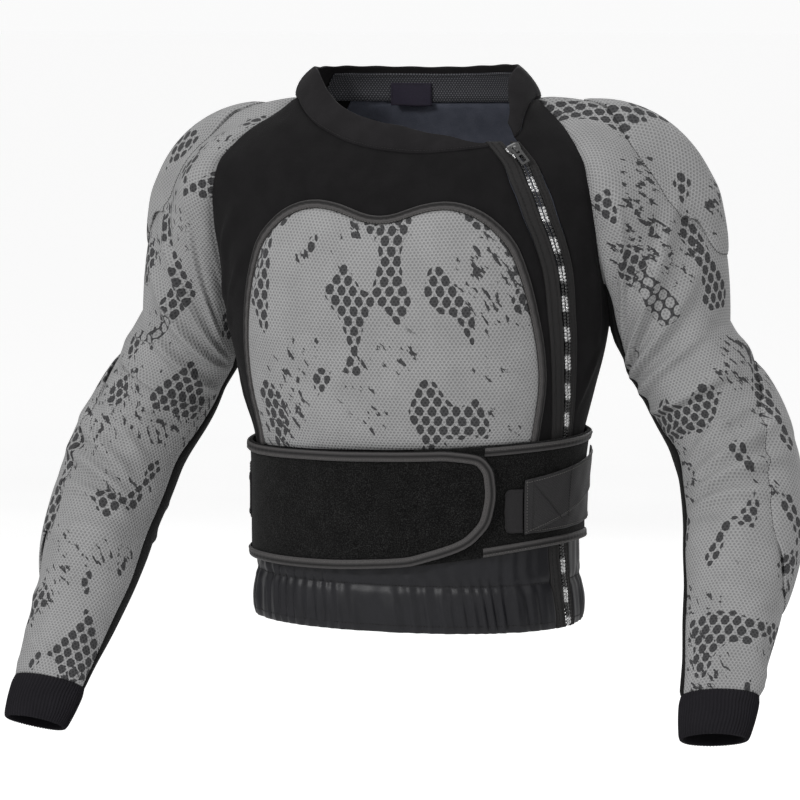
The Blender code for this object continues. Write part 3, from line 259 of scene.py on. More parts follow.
def torso_surface(angle, z):
    """Point of the bare torso form. angle: degrees from the front, towards the wearer's left."""
    turn, z = np.broadcast_arrays(np.radians(angle), np.asarray(z, float))
    level = level_at(z)
    sine, cosine = np.sin(turn), np.cos(turn)
    front = CHEST_FRONT * through(TORSO["level"], TORSO["front"], level)
    back = CHEST_BACK * through(TORSO["level"], TORSO["back"], level)
    width = CHEST_HALF_WIDTH * through(TORSO["level"], TORSO["width"], level)
    x = width * np.sign(sine) * np.abs(sine) ** (2 / SECTION_POWER)
    y = -np.where(cosine > 0, front, back) * np.sign(cosine) * np.abs(cosine) ** (2 / SECTION_POWER)
    return np.stack([x, y, z], -1)


def normals_of(surface, a, b, step_a, step_b):
    """Outward unit normals of a surface read at (a, b)."""
    across = surface(a + step_a, b) - surface(a - step_a, b)
    along = surface(a, b + step_b) - surface(a, b - step_b)
    return unit(np.cross(across, along))


def torso_normal(angle, z):
    return normals_of(torso_surface, np.asarray(angle, float), np.minimum(z, -0.0011), 0.8, 0.001)


def on_torso(angle, z, lift):
    """Point at a lift over the torso form."""
    return torso_surface(angle, z) + torso_normal(angle, z) * np.asarray(lift)[..., None]


def degrees_for(length, angle, z):
    """Angle that covers a length round the torso form."""
    step = 0.5
    run = np.linalg.norm(torso_surface(angle + step, z) - torso_surface(angle - step, z), axis=-1)
    return length * 2 * step / run


def neck_height(angle):
    return -NECK_DROP * through(NECK_SEAM["angle"], NECK_SEAM["drop"], around(angle))


def zip_angle(z):
    return through(ZIP_LINE["drop"], ZIP_LINE["angle"], -np.asarray(z, float) / BODY_LENGTH)


def belt_top(angle):
    return -BELT_DROP - BELT_HEIGHT * through(BELT_EDGES["angle"], BELT_EDGES["top"], around(angle))


def belt_bottom(angle):
    return -BELT_DROP - BELT_HEIGHT * through(BELT_EDGES["angle"], BELT_EDGES["bottom"], around(angle))


def raglan_loop(turn):
    """Seam of the left sleeve, by angle round the arm: armpit, front, neck, back, armpit."""
    turn = np.asarray(turn, float)
    rise = np.clip((180 - np.abs(turn)) / (180 - NECK_PART), 0, 1)
    level = rise
    front = through(RAGLAN_FRONT["level"], RAGLAN_FRONT["angle"], level)
    back = through(RAGLAN_BACK["level"], RAGLAN_BACK["angle"], level)
    share = np.clip((NECK_PART - turn) / (2 * NECK_PART), 0, 1)
    neck = RAGLAN_FRONT["angle"][-1] + share * (RAGLAN_BACK["angle"][-1] - RAGLAN_FRONT["angle"][-1])
    angle = np.where(np.abs(turn) < NECK_PART, neck, np.where(turn > 0, front, back))
    return torso_surface(angle, height_at(level))


def arm_ring(turn, along, slip):
    """Point of the left arm form below the armpit; along runs from 0 to 1 at the cuff and on past it."""
    steps = np.linspace(0, 1, len(ARM["drop"]))

    def centre(t):
        over = np.maximum(t - 1, 0)
        t = np.clip(t, 0, 1)
        drop = through(steps, ARM["drop"], t) * ARM_DROP
        x = SHOULDER_REACH + through(steps, ARM["spread"], t) * ARM_SPREAD
        y = through(steps, ARM["swing"], t) * ARM_SWING
        middle = np.stack([x, y, -ARMPIT_DROP - drop - slip * smooth(t, 0, 1)], -1)
        return middle, over

    def axis(t):
        step = 0.02
        ahead, _ = centre(np.clip(t + step, 0, 1))
        behind, _ = centre(np.clip(t - step, 0, 1))
        return unit(ahead - behind)

    turn, along = np.broadcast_arrays(np.asarray(turn, float), np.asarray(along, float))
    middle, over = centre(along)
    down = axis(np.clip(along, 0.02, 0.98))
    middle = middle + down * (over * ARM_DROP)[..., None]
    wrist = smooth(along, 0.60, 1.0)[..., None]
    down = unit(down * (1 - WRIST_UPRIGHT * wrist) + np.array([0.16, -0.20, -1.0]) * WRIST_UPRIGHT * wrist)
    outward = unit(np.array([1.0, 0, 0]) - down * down[..., :1])
    forward = np.cross(down, outward)
    forward = np.where(forward[..., 1:2] > 0, -forward, forward)
    radius = ARM_RADIUS * through(steps, ARM["radius"], np.clip(along, 0, 1)) * (1 - 1.1 * over)
    angle = np.radians(turn)
    forward = forward * (1 - WRIST_FLATNESS * wrist)
    ring = outward * np.cos(angle)[..., None] + forward * np.sin(angle)[..., None]
    return middle + ring * radius[..., None]


def sleeve_surface(turn, along, slip=0.0):
    """Point of the bare left sleeve form. along: -1 at the seam, 0 under the armpit, 1 at the cuff."""
    turn, along = np.broadcast_arrays(np.asarray(turn, float), np.asarray(along, float))
    turn = around(turn)
    start = raglan_loop(turn)
    end = arm_ring(turn, np.zeros_like(along), slip)
    gap = np.linalg.norm(end - start, axis=-1, keepdims=True)
    keys = [key for key in SHOULDER if key != "angle"]
    read = {key: through(SHOULDER["angle"], SHOULDER[key], turn)[..., None] for key in keys}
    hang = (1 + np.cos(np.radians(turn)))[..., None] / 2
    droop = RIGHT_SHOULDER_DROOP * slip / RIGHT_SLEEVE_SLIP * hang**2
    leave = unit(np.concatenate([read["out"], read["back"], read["up"] - droop], -1)) * gap * read["leave"]
    axis = unit(arm_ring(turn, np.full_like(along, 0.04), slip) - end)
    arrive = unit(hang * np.array([0.0, 0.0, -1.0]) + (1 - hang) * axis) * gap * read["arrive"]
    t = np.clip(along + 1, 0, 1)[..., None]
    shoulder = (2 * t**3 - 3 * t**2 + 1) * start + (t**3 - 2 * t**2 + t) * leave
    shoulder = shoulder + (3 * t**2 - 2 * t**3) * end + (t**3 - t**2) * arrive
    return np.where(along[..., None] < 0, shoulder, arm_ring(turn, np.maximum(along, 0), slip))


def sleeve_normal(turn, along, slip=0.0):
    along = np.maximum(along, -0.985)
    return normals_of(lambda a, b: sleeve_surface(a, b, slip), turn, along, 1.5, 0.012)


def front_columns(z, row_height):
    """Angles of the front net at one row: right panel, zip tapes and left panel. z: heights of its zip."""
    edge = zip_angle(z)
    half = CHAIN_WIDTH / 2 + SEAM
    right_edge = edge - degrees_for(half + ZIP_TAPE_RIGHT, edge, z)
    right_teeth = edge - degrees_for(half, edge, z)
    left_teeth = edge + degrees_for(half, edge, z)
    left_edge = edge + degrees_for(half + ZIP_TAPE_LEFT, edge, z)
    side = through(RAGLAN_FRONT["level"], RAGLAN_FRONT["angle"], level_at(row_height))
    side = np.where(level_at(row_height) > 0, side, ARMPIT_ANGLE)
    right = np.linspace(-side, right_edge, FRONT_CELLS + 1)
    left = np.linspace(left_edge, side, LEFT_CELLS + 1)
    return np.concatenate([right, [right_teeth, left_teeth], left])


def raglan_torso_normal(turns, facing):
    level = np.clip((180 - np.abs(turns)) / (180 - NECK_PART), 0, 1)
    table = RAGLAN_FRONT if facing > 0 else RAGLAN_BACK
    angle = through(table["level"], table["angle"], level)
    return torso_normal(angle, height_at(level))


def collar_band(angle):
    return COLLAR_HEIGHT * through(COLLAR_BAND["angle"], COLLAR_BAND["height"], around(angle))


def collar_rows(base, angle, shares):
    """Points of the collar's outside over its base points, at shares of the band's height."""
    band = collar_band(angle)
    turn = np.radians(angle)
    depth = np.where(np.cos(turn) > 0, RIM_FRONT_DEPTH, RIM_BACK_DEPTH)
    rim = np.stack([RIM_HALF_WIDTH * np.sin(turn), -depth * np.cos(turn), base[:, 2] + band], -1)
    lean = through(COLLAR_BAND["angle"], COLLAR_BAND["lean"], around(angle))[:, None]
    rim[:, :2] = base[:, :2] * (1 - lean) + rim[:, :2] * lean
    rows = []
    for share in shares:
        bow = 0.12 * share * (1 - share)
        point = base * (1 - share) + rim * share
        point[:, :2] += base[:, :2] * bow * lean
        rows.append(point)
    return np.stack(rows)


def grid_normals(points):
    """Normals of an open grid of points, rows and columns in torso order."""
    down = np.gradient(points, axis=0)
    across = np.gradient(points, axis=1)
    return unit(np.cross(across, down))


def wing_lift(angles):
    """How far the over wing is raised to pass over the end of the under wing."""
    return (BELT_THICKNESS + LAYER_CLEAR) * smooth(angles, -32, -6)


def inset(angle, z, distance):
    """Path on the torso moved sideways, to the right of its direction, by a distance."""
    metric = 1 / degrees_for(1.0, angle, z)
    run_angle, run_z = np.gradient(angle) * metric, np.gradient(z)
    length = np.hypot(run_angle, run_z)
    return angle + run_z / length * distance / metric, z - run_angle / length * distance


def chest_path():
    """Outer edge of the chest binding: angle and height, from the lower right corner over to the left."""
    half = np.stack([CHEST_OUTLINE["across"], CHEST_OUTLINE["up"]], -1)
    path = np.concatenate([half * (-1, 1), half[::-1][1:]])
    steps = np.linspace(0, 1, len(path))
    fine = np.linspace(0, 1, 2 * len(path) - 1)
    angle = through(steps, path[:, 0], fine) * CHEST_PAD_ANGLE
    share = through(steps, path[:, 1], fine)
    bottom = belt_top(angle) + 2 * CLEAR
    top = -BELT_DROP + CHEST_PAD_HEIGHT
    return angle, bottom + (top - bottom) * share


def bulge(share):
    """Crown of a pad across its width: nothing at the edges, full over most of the middle."""
    return (1 - np.abs(2 * share - 1) ** 3) ** 0.8


def mirrored(grid):
    return grid * np.array([-1.0, 1, 1])


def refined(coarse, cells):
    """The values of a list with each step divided into cells."""
    coarse = np.asarray(coarse, float)
    steps = np.arange(len(coarse))
    return np.interp(np.linspace(0, len(coarse) - 1, cells * (len(coarse) - 1) + 1), steps, coarse)


# Nets of the looks: how finely each run of the solids' nets is divided
FINE_YOKE = refined(YOKE_ROWS, 7)
WAIST_CELLS = 70
FRONT_CELLS = 90
LEFT_CELLS = 26
BACK_CELLS = 100
UNDER_SHARE_FRONT = 0.20
UNDER_SHARE_FRONT_RIGHT = 0.03
UNDER_SHARE_BACK = 0.46
ARM_CELLS = 122
SHOULDER_CELLS = 45


def run_lengths(points, axis):
    """Distance along each row (axis 1) or column (axis 0) of a grid of points, from its start."""
    steps = np.linalg.norm(np.diff(points, axis=axis), axis=-1)
    pad = [(0, 0), (0, 0)]
    pad[axis] = (1, 0)
    return np.pad(np.cumsum(steps, axis=axis), pad)


def edge_distances(points):
    """Distances of the grid's points from its top, bottom, left and right sides."""
    down = run_lengths(points, 0)
    across = run_lengths(points, 1)
    return down, down[-1:] - down, across, across[:, -1:] - across


def rolled(points, normals, sides="tblr", depth=0.0011, reach=0.0035):
    """The grid with its sewn sides rolled under, so that a seam shows as a soft groove."""
    sink = np.zeros(points.shape[:2])
    for side, distance in zip("tblr", edge_distances(points)):
        if side in sides:
            sink = np.maximum(sink, np.exp(-(distance / reach) ** 2))
    return points - normals * (sink * depth)[..., None]


def cloth(name, outer, inner, look, replaces=(), uv=None, closed=False, body="jacket",
          round_rim=True):
    """Piece of cloth between two grids of points, with rounded rims and UVs in metres."""
    rows, columns = outer.shape[:2]
    if uv is None:
        uv = (run_lengths(outer, 1).mean(0)[None, :].repeat(rows, 0), run_lengths(outer, 0))
    count = rows * columns
    index = np.arange(count).reshape(rows, columns)
    if closed:
        around_columns = np.concatenate([index, index[:, :1]], 1)
    else:
        around_columns = index
    a, b = around_columns[:-1, :-1], around_columns[:-1, 1:]
    c, d = around_columns[1:, 1:], around_columns[1:, :-1]
    front = np.stack([a, d, c, b], -1).reshape(-1, 4)
    u, v = uv
    if closed:
        step = u[:, -1:] - u[:, -2:-1]
        u = np.concatenate([u, u[:, -1:] + step], 1)
        v = np.concatenate([v, v[:, :1]], 1)
    at = np.stack([u, v], -1)
    front_uv = np.stack([at[:-1, :-1], at[1:, :-1], at[1:, 1:], at[:-1, 1:]], 2).reshape(-1, 4, 2)
    faces = [front, front[:, ::-1] + count]
    uvs = [front_uv, front_uv[:, ::-1]]
    points = [outer.reshape(-1, 3), inner.reshape(-1, 3)]
    total = 2 * count
    flat_uv = np.stack([uv[0], uv[1]], -1).reshape(-1, 2)
    if closed:
        loops = [(index[0], index[1]), (index[-1][::-1], index[-2][::-1])]
    else:
        near = index[np.clip(np.arange(rows), 1, rows - 2)][:, np.clip(np.arange(columns), 1, columns - 2)]
        ring = [(0, k) for k in range(columns)] + [(k, columns - 1) for k in range(1, rows)]
        ring += [(rows - 1, k) for k in range(columns - 2, -1, -1)] + [(k, 0) for k in range(rows - 2, 0, -1)]
        ring = np.array(ring)
        loops = [(index[ring[:, 0], ring[:, 1]], near[ring[:, 0], ring[:, 1]])]
    flat_outer, flat_inner = points[0], points[1]
    for loop, inside in loops:
        half = np.linalg.norm(flat_outer[loop] - flat_inner[loop], axis=-1, keepdims=True) / 2
        away = unit(flat_outer[loop] - flat_outer[inside] + 1e-9)
        middle = (flat_outer[loop] + flat_inner[loop]) / 2 + away * half * (0.9 if round_rim else 0.0)
        points.append(middle)
        mid = total + np.arange(len(loop))
        total += len(loop)
        nxt, mid_next = np.roll(loop, -1), np.roll(mid, -1)
        faces += [np.stack([loop, nxt, mid_next, mid], -1),
                  np.stack([mid, mid_next, nxt + count, loop + count], -1)]
        here, there = flat_uv[loop], flat_uv[nxt]
        strip = np.stack([here, there, there, here], 1)
        uvs += [strip, strip]
    return solid(name, np.concatenate(points), np.concatenate(faces), look, np.concatenate(uvs),
                 replaces=replaces, body=body)


def solid(name, points, quads, look, uvs=None, replaces=(), body="jacket", sharp=None):
    """Object of quads that rides on a body, its faces turned outward."""
    corners = points[quads[:, :3]].astype(float)
    volume = np.einsum("ij,ij->i", np.cross(corners[:, 0], corners[:, 1]), corners[:, 2]).sum()
    if quads.shape[1] == 4:
        rest = points[quads[:, [0, 2, 3]]].astype(float)
        volume += np.einsum("ij,ij->i", np.cross(rest[:, 0], rest[:, 1]), rest[:, 2]).sum()
    if volume < 0:
        quads = quads[:, ::-1]
        uvs = None if uvs is None else uvs[:, ::-1]
    name = name + "_look"
    mesh = bpy.data.meshes.new(name)
    mesh.vertices.add(len(points))
    mesh.vertices.foreach_set("co", np.ascontiguousarray(points, np.float32).ravel())
    mesh.loops.add(quads.size)
    mesh.loops.foreach_set("vertex_index", np.ascontiguousarray(quads, np.int32).ravel())
    mesh.polygons.add(len(quads))
    mesh.polygons.foreach_set("loop_start", np.arange(0, quads.size, quads.shape[1], dtype=np.int32))
    mesh.update(calc_edges=True)
    if uvs is not None:
        layer = mesh.uv_layers.new(name="flat")
        layer.data.foreach_set("uv", np.ascontiguousarray(uvs, np.float32).ravel())
    mesh.validate()
    mesh.shade_smooth()
    if sharp:
        mesh.set_sharp_from_angle(angle=math.radians(sharp))
    made = bpy.data.objects.new(name, mesh)
    made.data.materials.append(look)
    bpy.context.scene.collection.objects.link(made)
    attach(made, body)
    if replaces:
        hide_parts(*replaces)
    return made


def tubes(name, paths, look, sides=6, body="jacket"):
    """Many short threads or cords as one object. paths: arrays (stitches, points, 3) with radii to match."""
    all_points, all_faces = [], []
    base = 0
    turns = np.linspace(0, 2 * np.pi, sides, endpoint=False)
    for points, radii in paths:
        count, steps = points.shape[:2]
        run = np.gradient(points, axis=1)
        run = unit(run)
        helper = np.where(np.abs(run[..., 2:3]) > 0.8, np.array([1.0, 0, 0]), np.array([0, 0, 1.0]))
        side = unit(np.cross(run, helper))
        up = np.cross(side, run)
        ring = (side[:, :, None] * np.cos(turns)[:, None] + up[:, :, None] * np.sin(turns)[:, None])
        rings = points[:, :, None] + ring * np.asarray(radii)[None, :, None, None]
        index = base + np.arange(count * steps * sides).reshape(count, steps, sides)
        nxt = np.roll(index, -1, axis=2)
        faces = np.stack([index[:, :-1], nxt[:, :-1], nxt[:, 1:], index[:, 1:]], -1).reshape(-1, 4)
        all_points.append(rings.reshape(-1, 3))
        all_faces.append(faces)
        caps = []
        for end, flip in ((0, True), (steps - 1, False)):
            cap = index[:, end]
            for k in range(1, sides - 2, 2):
                quad = np.stack([cap[:, 0], cap[:, k], cap[:, k + 1], cap[:, k + 2]], -1)
                caps.append(quad[:, ::-1] if flip else quad)
        all_faces += caps
        base += count * steps * sides
    return solid(name, np.concatenate(all_points), np.concatenate(all_faces), look, body=body)


def resampled(path, step):
    """Points along a path at an even step."""
    length = np.concatenate([[0], np.cumsum(np.linalg.norm(np.diff(path, axis=0), axis=1))])
    count = max(int(length[-1] / step), 2)
    wanted = np.linspace(0, length[-1], count + 1)
    return np.stack([np.interp(wanted, length, path[:, k]) for k in range(3)], -1)


def stitches(path, normals=None, pitch=0.0030, share=0.72, lift=0.0, radius=0.00032, rise=0.0003):
    """Run of thread stitches along a path: short arched lengths with gaps where the needle went in."""
    fine = resampled(path, pitch)
    if normals is not None:
        length = np.linspace(0, 1, len(fine))
        old = np.linspace(0, 1, len(normals))
        out = unit(np.stack([np.interp(length, old, normals[:, k]) for k in range(3)], -1))
    else:
        out = np.zeros_like(fine)
    start, end = fine[:-1], fine[1:]
    steps = np.linspace(0, share, 4)
    arch = np.array([-1.0, 0.9, 0.9, -1.0]) * rise
    points = start[:, None] + (end - start)[:, None] * steps[None, :, None]
    points = points + out[:-1, None] * (arch + lift)[None, :, None]
    return points, np.array([0.7, 1.0, 1.0, 0.7]) * radius


def grid_path(points, normals, side, distance):
    """Path across a grid at a distance from one of its sides, with the normals there."""
    if side in "tb":
        lengths = run_lengths(points, 0)
        wanted = np.full(points.shape[1], distance) if side == "t" else lengths[-1] - distance
        grid, out = points.transpose(1, 0, 2), normals.transpose(1, 0, 2)
        lengths = lengths.T
    else:
        lengths = run_lengths(points, 1)
        wanted = np.full(points.shape[0], distance) if side == "l" else lengths[:, -1] - distance
        grid, out = points, normals
    path = [[np.interp(w, run, row[:, k]) for k in range(3)] for w, run, row in zip(wanted, lengths, grid)]
    turned = [[np.interp(w, run, row[:, k]) for k in range(3)] for w, run, row in zip(wanted, lengths, out)]
    return np.array(path), unit(np.array(turned))


def unwrapped(points):
    """Flat layout of a grid of points without shear, in metres, its middle column along v."""
    rows, columns = points.shape[:2]
    index = np.arange(rows * columns).reshape(rows, columns)
    quads = np.stack([index[:-1, :-1], index[:-1, 1:], index[1:, 1:], index[1:, :-1]], -1).reshape(-1, 4)
    mesh = bpy.data.meshes.new("layout")
    mesh.from_pydata(points.reshape(-1, 3).tolist(), [], quads.tolist())
    mesh.uv_layers.new(name="layout")
    layout = bpy.data.objects.new("layout", mesh)
    bpy.context.scene.collection.objects.link(layout)
    bpy.context.view_layer.objects.active = layout
    layout.select_set(True)
    bpy.ops.object.mode_set(mode="EDIT")
    bpy.ops.mesh.select_all(action="SELECT")
    bpy.ops.uv.unwrap(method="MINIMUM_STRETCH", iterations=4, margin=0.0)
    bpy.ops.object.mode_set(mode="OBJECT")
    flat = np.empty(len(mesh.loops) * 2, np.float32)
    mesh.uv_layers["layout"].data.foreach_get("uv", flat)
    corners = np.empty(len(mesh.loops), np.int32)
    mesh.loops.foreach_get("vertex_index", corners)
    place = np.zeros((rows * columns, 2))
    place[corners] = flat.reshape(-1, 2)
    bpy.data.objects.remove(layout)
    bpy.data.meshes.remove(mesh)
    place = place.reshape(rows, columns, 2)
    middle = columns // 2
    real, drawn = [sum(np.linalg.norm(np.diff(grid, axis=axis), axis=-1).sum() for axis in (0, 1))
                   for grid in (points, place)]
    place = (place - place[0, middle]) * (real / drawn)
    down = unit(place[-1, middle] - place[0, middle])
    v = place @ down
    u = place @ np.array([down[1], -down[0]])
    if (u[:, -1] - u[:, 0]).sum() < 0:
        u = -u
    return u, v


def sampled(values, row, column):
    """Values of a grid at fractional rows and columns."""
    row = np.clip(row, 0, values.shape[0] - 1.001)
    column = np.clip(column, 0, values.shape[1] - 1.001)
    r, c = row.astype(int), column.astype(int)
    fr, fc = row - r, column - c
    return ((values[r, c] * (1 - fc) + values[r, c + 1] * fc) * (1 - fr)
            + (values[r + 1, c] * (1 - fc) + values[r + 1, c + 1] * fc) * fr)


class Look:
    """Builder of one node material."""

    def __init__(self, name, roughness=0.85, specular=0.25, sheen=0.0, sheen_roughness=0.4, coat=0.0):
        self.material = bpy.data.materials.new(name)
        self.material.use_nodes = True
        self.tree = self.material.node_tree
        self.shader = self.tree.nodes["Principled BSDF"]
        self.shader.inputs["Roughness"].default_value = roughness
        self.shader.inputs["Specular IOR Level"].default_value = specular
        self.shader.inputs["Sheen Weight"].default_value = sheen
        self.shader.inputs["Sheen Roughness"].default_value = sheen_roughness
        self.shader.inputs["Coat Weight"].default_value = coat
        self.height = None

    def node(self, kind, inputs=(), **settings):
        made = self.tree.nodes.new(kind)
        for key, value in settings.items():
            setattr(made, key, value)
        for key, value in dict(inputs).items():
            self.feed(made.inputs[key], value)
        return made

    def feed(self, socket, value):
        if isinstance(value, bpy.types.NodeSocket):
            self.tree.links.new(value, socket)
        elif isinstance(value, (tuple, list)) and len(value) == 3 and socket.type == "RGBA":
            socket.default_value = (*value, 1)
        else:
            socket.default_value = value

    def math(self, operation, a, b=0.0, c=0.0, clamp=False):
        made = self.node("ShaderNodeMath", operation=operation, use_clamp=clamp)
        for k, value in enumerate((a, b, c)):
            self.feed(made.inputs[k], value)
        return made.outputs[0]

    def flat(self):
        """Metres along and across the piece."""
        layout = self.node("ShaderNodeUVMap", uv_map="flat").outputs[0]
        split = self.node("ShaderNodeSeparateXYZ", {0: layout})
        return split.outputs[0], split.outputs[1]

    def join(self, x, y, z=0.0):
        return self.node("ShaderNodeCombineXYZ", {0: x, 1: y, 2: z}).outputs[0]

    def space(self):
        return self.node("ShaderNodeTexCoord").outputs["Object"]

    def noise(self, vector, scale, detail=2.0, roughness=0.5, distortion=0.0):
        return self.node("ShaderNodeTexNoise", {
            "Vector": vector, "Scale": scale, "Detail": detail, "Roughness": roughness,
            "Distortion": distortion}).outputs[0]

    def ramp(self, value, low, high, start=0.0, end=1.0):
        return self.node("ShaderNodeMapRange", {
            "Value": value, "From Min": low, "From Max": high, "To Min": start, "To Max": end},
            interpolation_type="SMOOTHSTEP").outputs[0]

    def mix(self, share, a, b):
        made = self.node("ShaderNodeMix", data_type="RGBA")
        self.feed(made.inputs["Factor"], share)
        self.feed(made.inputs[6], a)
        self.feed(made.inputs[7], b)
        return made.outputs[2]

    def lattice(self, u, v, across, along, squash=1.0):
        """Distance to the nearest point of a staggered lattice, in metres; squash stretches it along v."""
        nearest = None
        for shift in (0.0, 0.5):
            du = self.math("MULTIPLY", self.math("SUBTRACT", self.math("FRACT", self.math(
                "ADD", self.math("DIVIDE", u, across), shift)), 0.5), across)
            dv = self.math("MULTIPLY", self.math("SUBTRACT", self.math("FRACT", self.math(
                "ADD", self.math("DIVIDE", v, 2 * along), shift)), 0.5), 2 * along / squash)
            squares = self.math("ADD", self.math("POWER", du, 2.0), self.math("POWER", dv, 2.0))
            distance = self.math("SQRT", squares)
            nearest = distance if nearest is None else self.math("MINIMUM", nearest, distance)
        return nearest

    def colour(self, value):
        self.feed(self.shader.inputs["Base Color"], value)

    def rough(self, value):
        self.feed(self.shader.inputs["Roughness"], value)

    def bump(self, height, distance, strength=1.0):
        """Adds relief; height is in metres times 1/distance."""
        inputs = {"Height": height, "Distance": distance, "Strength": strength}
        if self.height is not None:
            inputs["Normal"] = self.height
        self.height = self.node("ShaderNodeBump", inputs).outputs[0]
        self.feed(self.shader.inputs["Normal"], self.height)


def mesh_look(name, shift):
    """Light grey air mesh with staggered dimples and a generic dark print of dots and flecks."""
    look = Look(name, roughness=0.85, specular=0.12, sheen=0.04)
    u, v = look.flat()
    hole = look.lattice(u, v, MESH_PITCH, MESH_ROW, 1.0)
    dimple = look.ramp(hole, MESH_PITCH * 0.10, MESH_PITCH * 0.42)
    place = look.join(look.math("ADD", u, shift[0]), look.math("ADD", v, shift[1]))
    warp_u = look.math("ADD", u, look.math("MULTIPLY", look.noise(place, 22.0, 1.0), 0.006))
    warp_v = look.math("ADD", v, look.math("MULTIPLY", look.noise(place, 17.0, 1.0), 0.006))
    dot = look.lattice(warp_u, warp_v, PRINT_PITCH, PRINT_ROW, 1.22)
    tall = look.join(look.math("MULTIPLY", look.math("ADD", u, shift[0]), 1.5),
                     look.math("MULTIPLY", look.math("ADD", v, shift[1]), 0.85))
    patch = look.noise(tall, 19.0, 0.3, 0.4)
    ragged = look.noise(place, 300.0, 3.0, 0.6)
    reach = look.ramp(patch, PATCH_EDGE, PATCH_EDGE + 0.030, 0.0, PRINT_PITCH * 0.36)
    edge = look.math("ADD", reach, look.math("MULTIPLY", look.math("SUBTRACT", ragged, 0.5), 0.0026))
    dots = look.ramp(look.math("SUBTRACT", edge, dot), -0.00015, 0.00025)
    rim = look.math("MULTIPLY", look.ramp(reach, 0.0004, 0.0018), dots)
    net = look.ramp(look.math("SUBTRACT", dot, PRINT_PITCH * 0.36), -0.0002, 0.0004)
    swapped = look.math("MULTIPLY", look.ramp(look.noise(place, 6.0, 1.0), 0.62, 0.63),
                        look.ramp(reach, 0.0030, 0.0040))
    rim = look.math("ADD", look.math("MULTIPLY", rim, look.math("SUBTRACT", 1.0, swapped)),
                    look.math("MULTIPLY", net, swapped), clamp=True)
    slant_u = look.math("ADD", look.math("MULTIPLY", u, 0.6), look.math("MULTIPLY", v, 0.8))
    slant_v = look.math("SUBTRACT", look.math("MULTIPLY", u, 0.8), look.math("MULTIPLY", v, 0.6))
    stroke = look.noise(look.join(look.math("MULTIPLY", slant_u, 0.42), slant_v, shift[0]), 210.0, 2.0, 0.55)
    scatter = look.noise(place, 13.0, 2.0, 0.5)
    allow = look.ramp(scatter, 0.48, 0.62)
    flecks = look.ramp(look.math("ADD", stroke, look.math("MULTIPLY", allow, 0.12)), 0.690, 0.706)
    marks = look.math("MAXIMUM", rim, look.math("MULTIPLY", flecks, look.ramp(allow, 0.05, 0.3)), clamp=True)
    cloudy = look.ramp(look.noise(look.space(), 30.0, 3.0), 0.3, 0.7, 0.94, 1.04)
    light = look.mix(dimple, (0.235, 0.235, 0.237), (0.365, 0.365, 0.366))
    dark = look.mix(dimple, (0.042, 0.042, 0.044), (0.070, 0.070, 0.072))
    tint = look.mix(marks, light, dark)
    grain = look.noise(look.space(), 1600.0, 2.0)
    shade = look.math("MULTIPLY", cloudy, look.ramp(grain, 0.2, 0.8, 0.9, 1.08))
    scaled = look.node("ShaderNodeVectorMath", {0: tint}, operation="SCALE")
    look.feed(scaled.inputs["Scale"], shade)
    look.colour(scaled.outputs[0])
    look.bump(dimple, 0.0008, 0.8)
    look.bump(grain, 0.0003, 0.35)
    return look.material


MESH_PITCH = 0.0038
MESH_ROW = 0.0029
PRINT_PITCH = 0.0118
PRINT_ROW = 0.0098
PATCH_EDGE = 0.575


def plain_look(name, colour, roughness=0.9, specular=0.10, sheen=0.02, weave=0.0007, relief=0.35, cloud=0.12):
    """Fine knit or jersey in one colour: small stitches, a little unevenness."""
    look = Look(name, roughness=roughness, specular=specular, sheen=sheen)
    u, v = look.flat()
    knit = look.lattice(u, v, weave, weave * 0.8)
    loops = look.ramp(knit, weave * 0.1, weave * 0.5)
    soft = look.noise(look.space(), 45.0, 4.0, 0.55)
    grain = look.noise(look.space(), 1300.0, 2.0)
    shade = look.math("ADD", look.ramp(soft, 0.3, 0.7, 1 - cloud, 1 + cloud),
                      look.ramp(grain, 0.2, 0.8, -0.15, 0.15))
    shade = look.math("MULTIPLY", shade, look.math("ADD", 0.88, look.math("MULTIPLY", loops, 0.2)))
    scaled = look.node("ShaderNodeVectorMath", {0: colour}, operation="SCALE")
    look.feed(scaled.inputs["Scale"], shade)
    look.colour(scaled.outputs[0])
    look.bump(loops, 0.0002, relief)
    look.bump(soft, 0.0012, 0.12)
    return look.material


def ribbed_look(name, colour, pitch=0.0013, along=True, roughness=0.6, specular=0.22, depth=0.0003,
                piping_and_highlight=None):
    """Woven tape or elastic with fine ribs along or across it."""
    look = Look(name, roughness=roughness, specular=specular, sheen=0.05)
    u, v = look.flat()
    ribs = look.math("ABSOLUTE", look.math("SINE", look.math("MULTIPLY", v if along else u, math.pi / pitch)))
    turn = look.math("MULTIPLY", u if along else v, math.pi / 0.0009)
    cross = look.math("ABSOLUTE", look.math("SINE", turn))
    grain = look.noise(look.space(), 900.0, 3.0)
    shade = look.math("ADD", look.math("MULTIPLY", ribs, 0.5), look.math("MULTIPLY", cross, 0.15))
    shade = look.math("ADD", shade, look.ramp(grain, 0.2, 0.8, 0.4, 0.8))
    # Optional band across the tape: the colour is darkened along its middle, painted shade of a stitched
    # groove, and lightened towards both edges, partly a light piping and partly painted highlight on the
    # tape's rounded edges.
    if piping_and_highlight:
        middle, reach = piping_and_highlight
        away = look.math("ABSOLUTE", look.math("SUBTRACT", v, middle))
        shade = look.math("MULTIPLY", shade, look.ramp(away, 0.0003, reach, 0.30, 1.0))
        shade = look.math("ADD", shade, look.ramp(away, reach, reach + 0.0010, 0.0, 0.8))
    scaled = look.node("ShaderNodeVectorMath", {0: colour}, operation="SCALE")
    look.feed(scaled.inputs["Scale"], shade)
    look.colour(scaled.outputs[0])
    look.bump(ribs, depth, 0.8)
    look.bump(cross, depth * 0.4, 0.5)
    return look.material


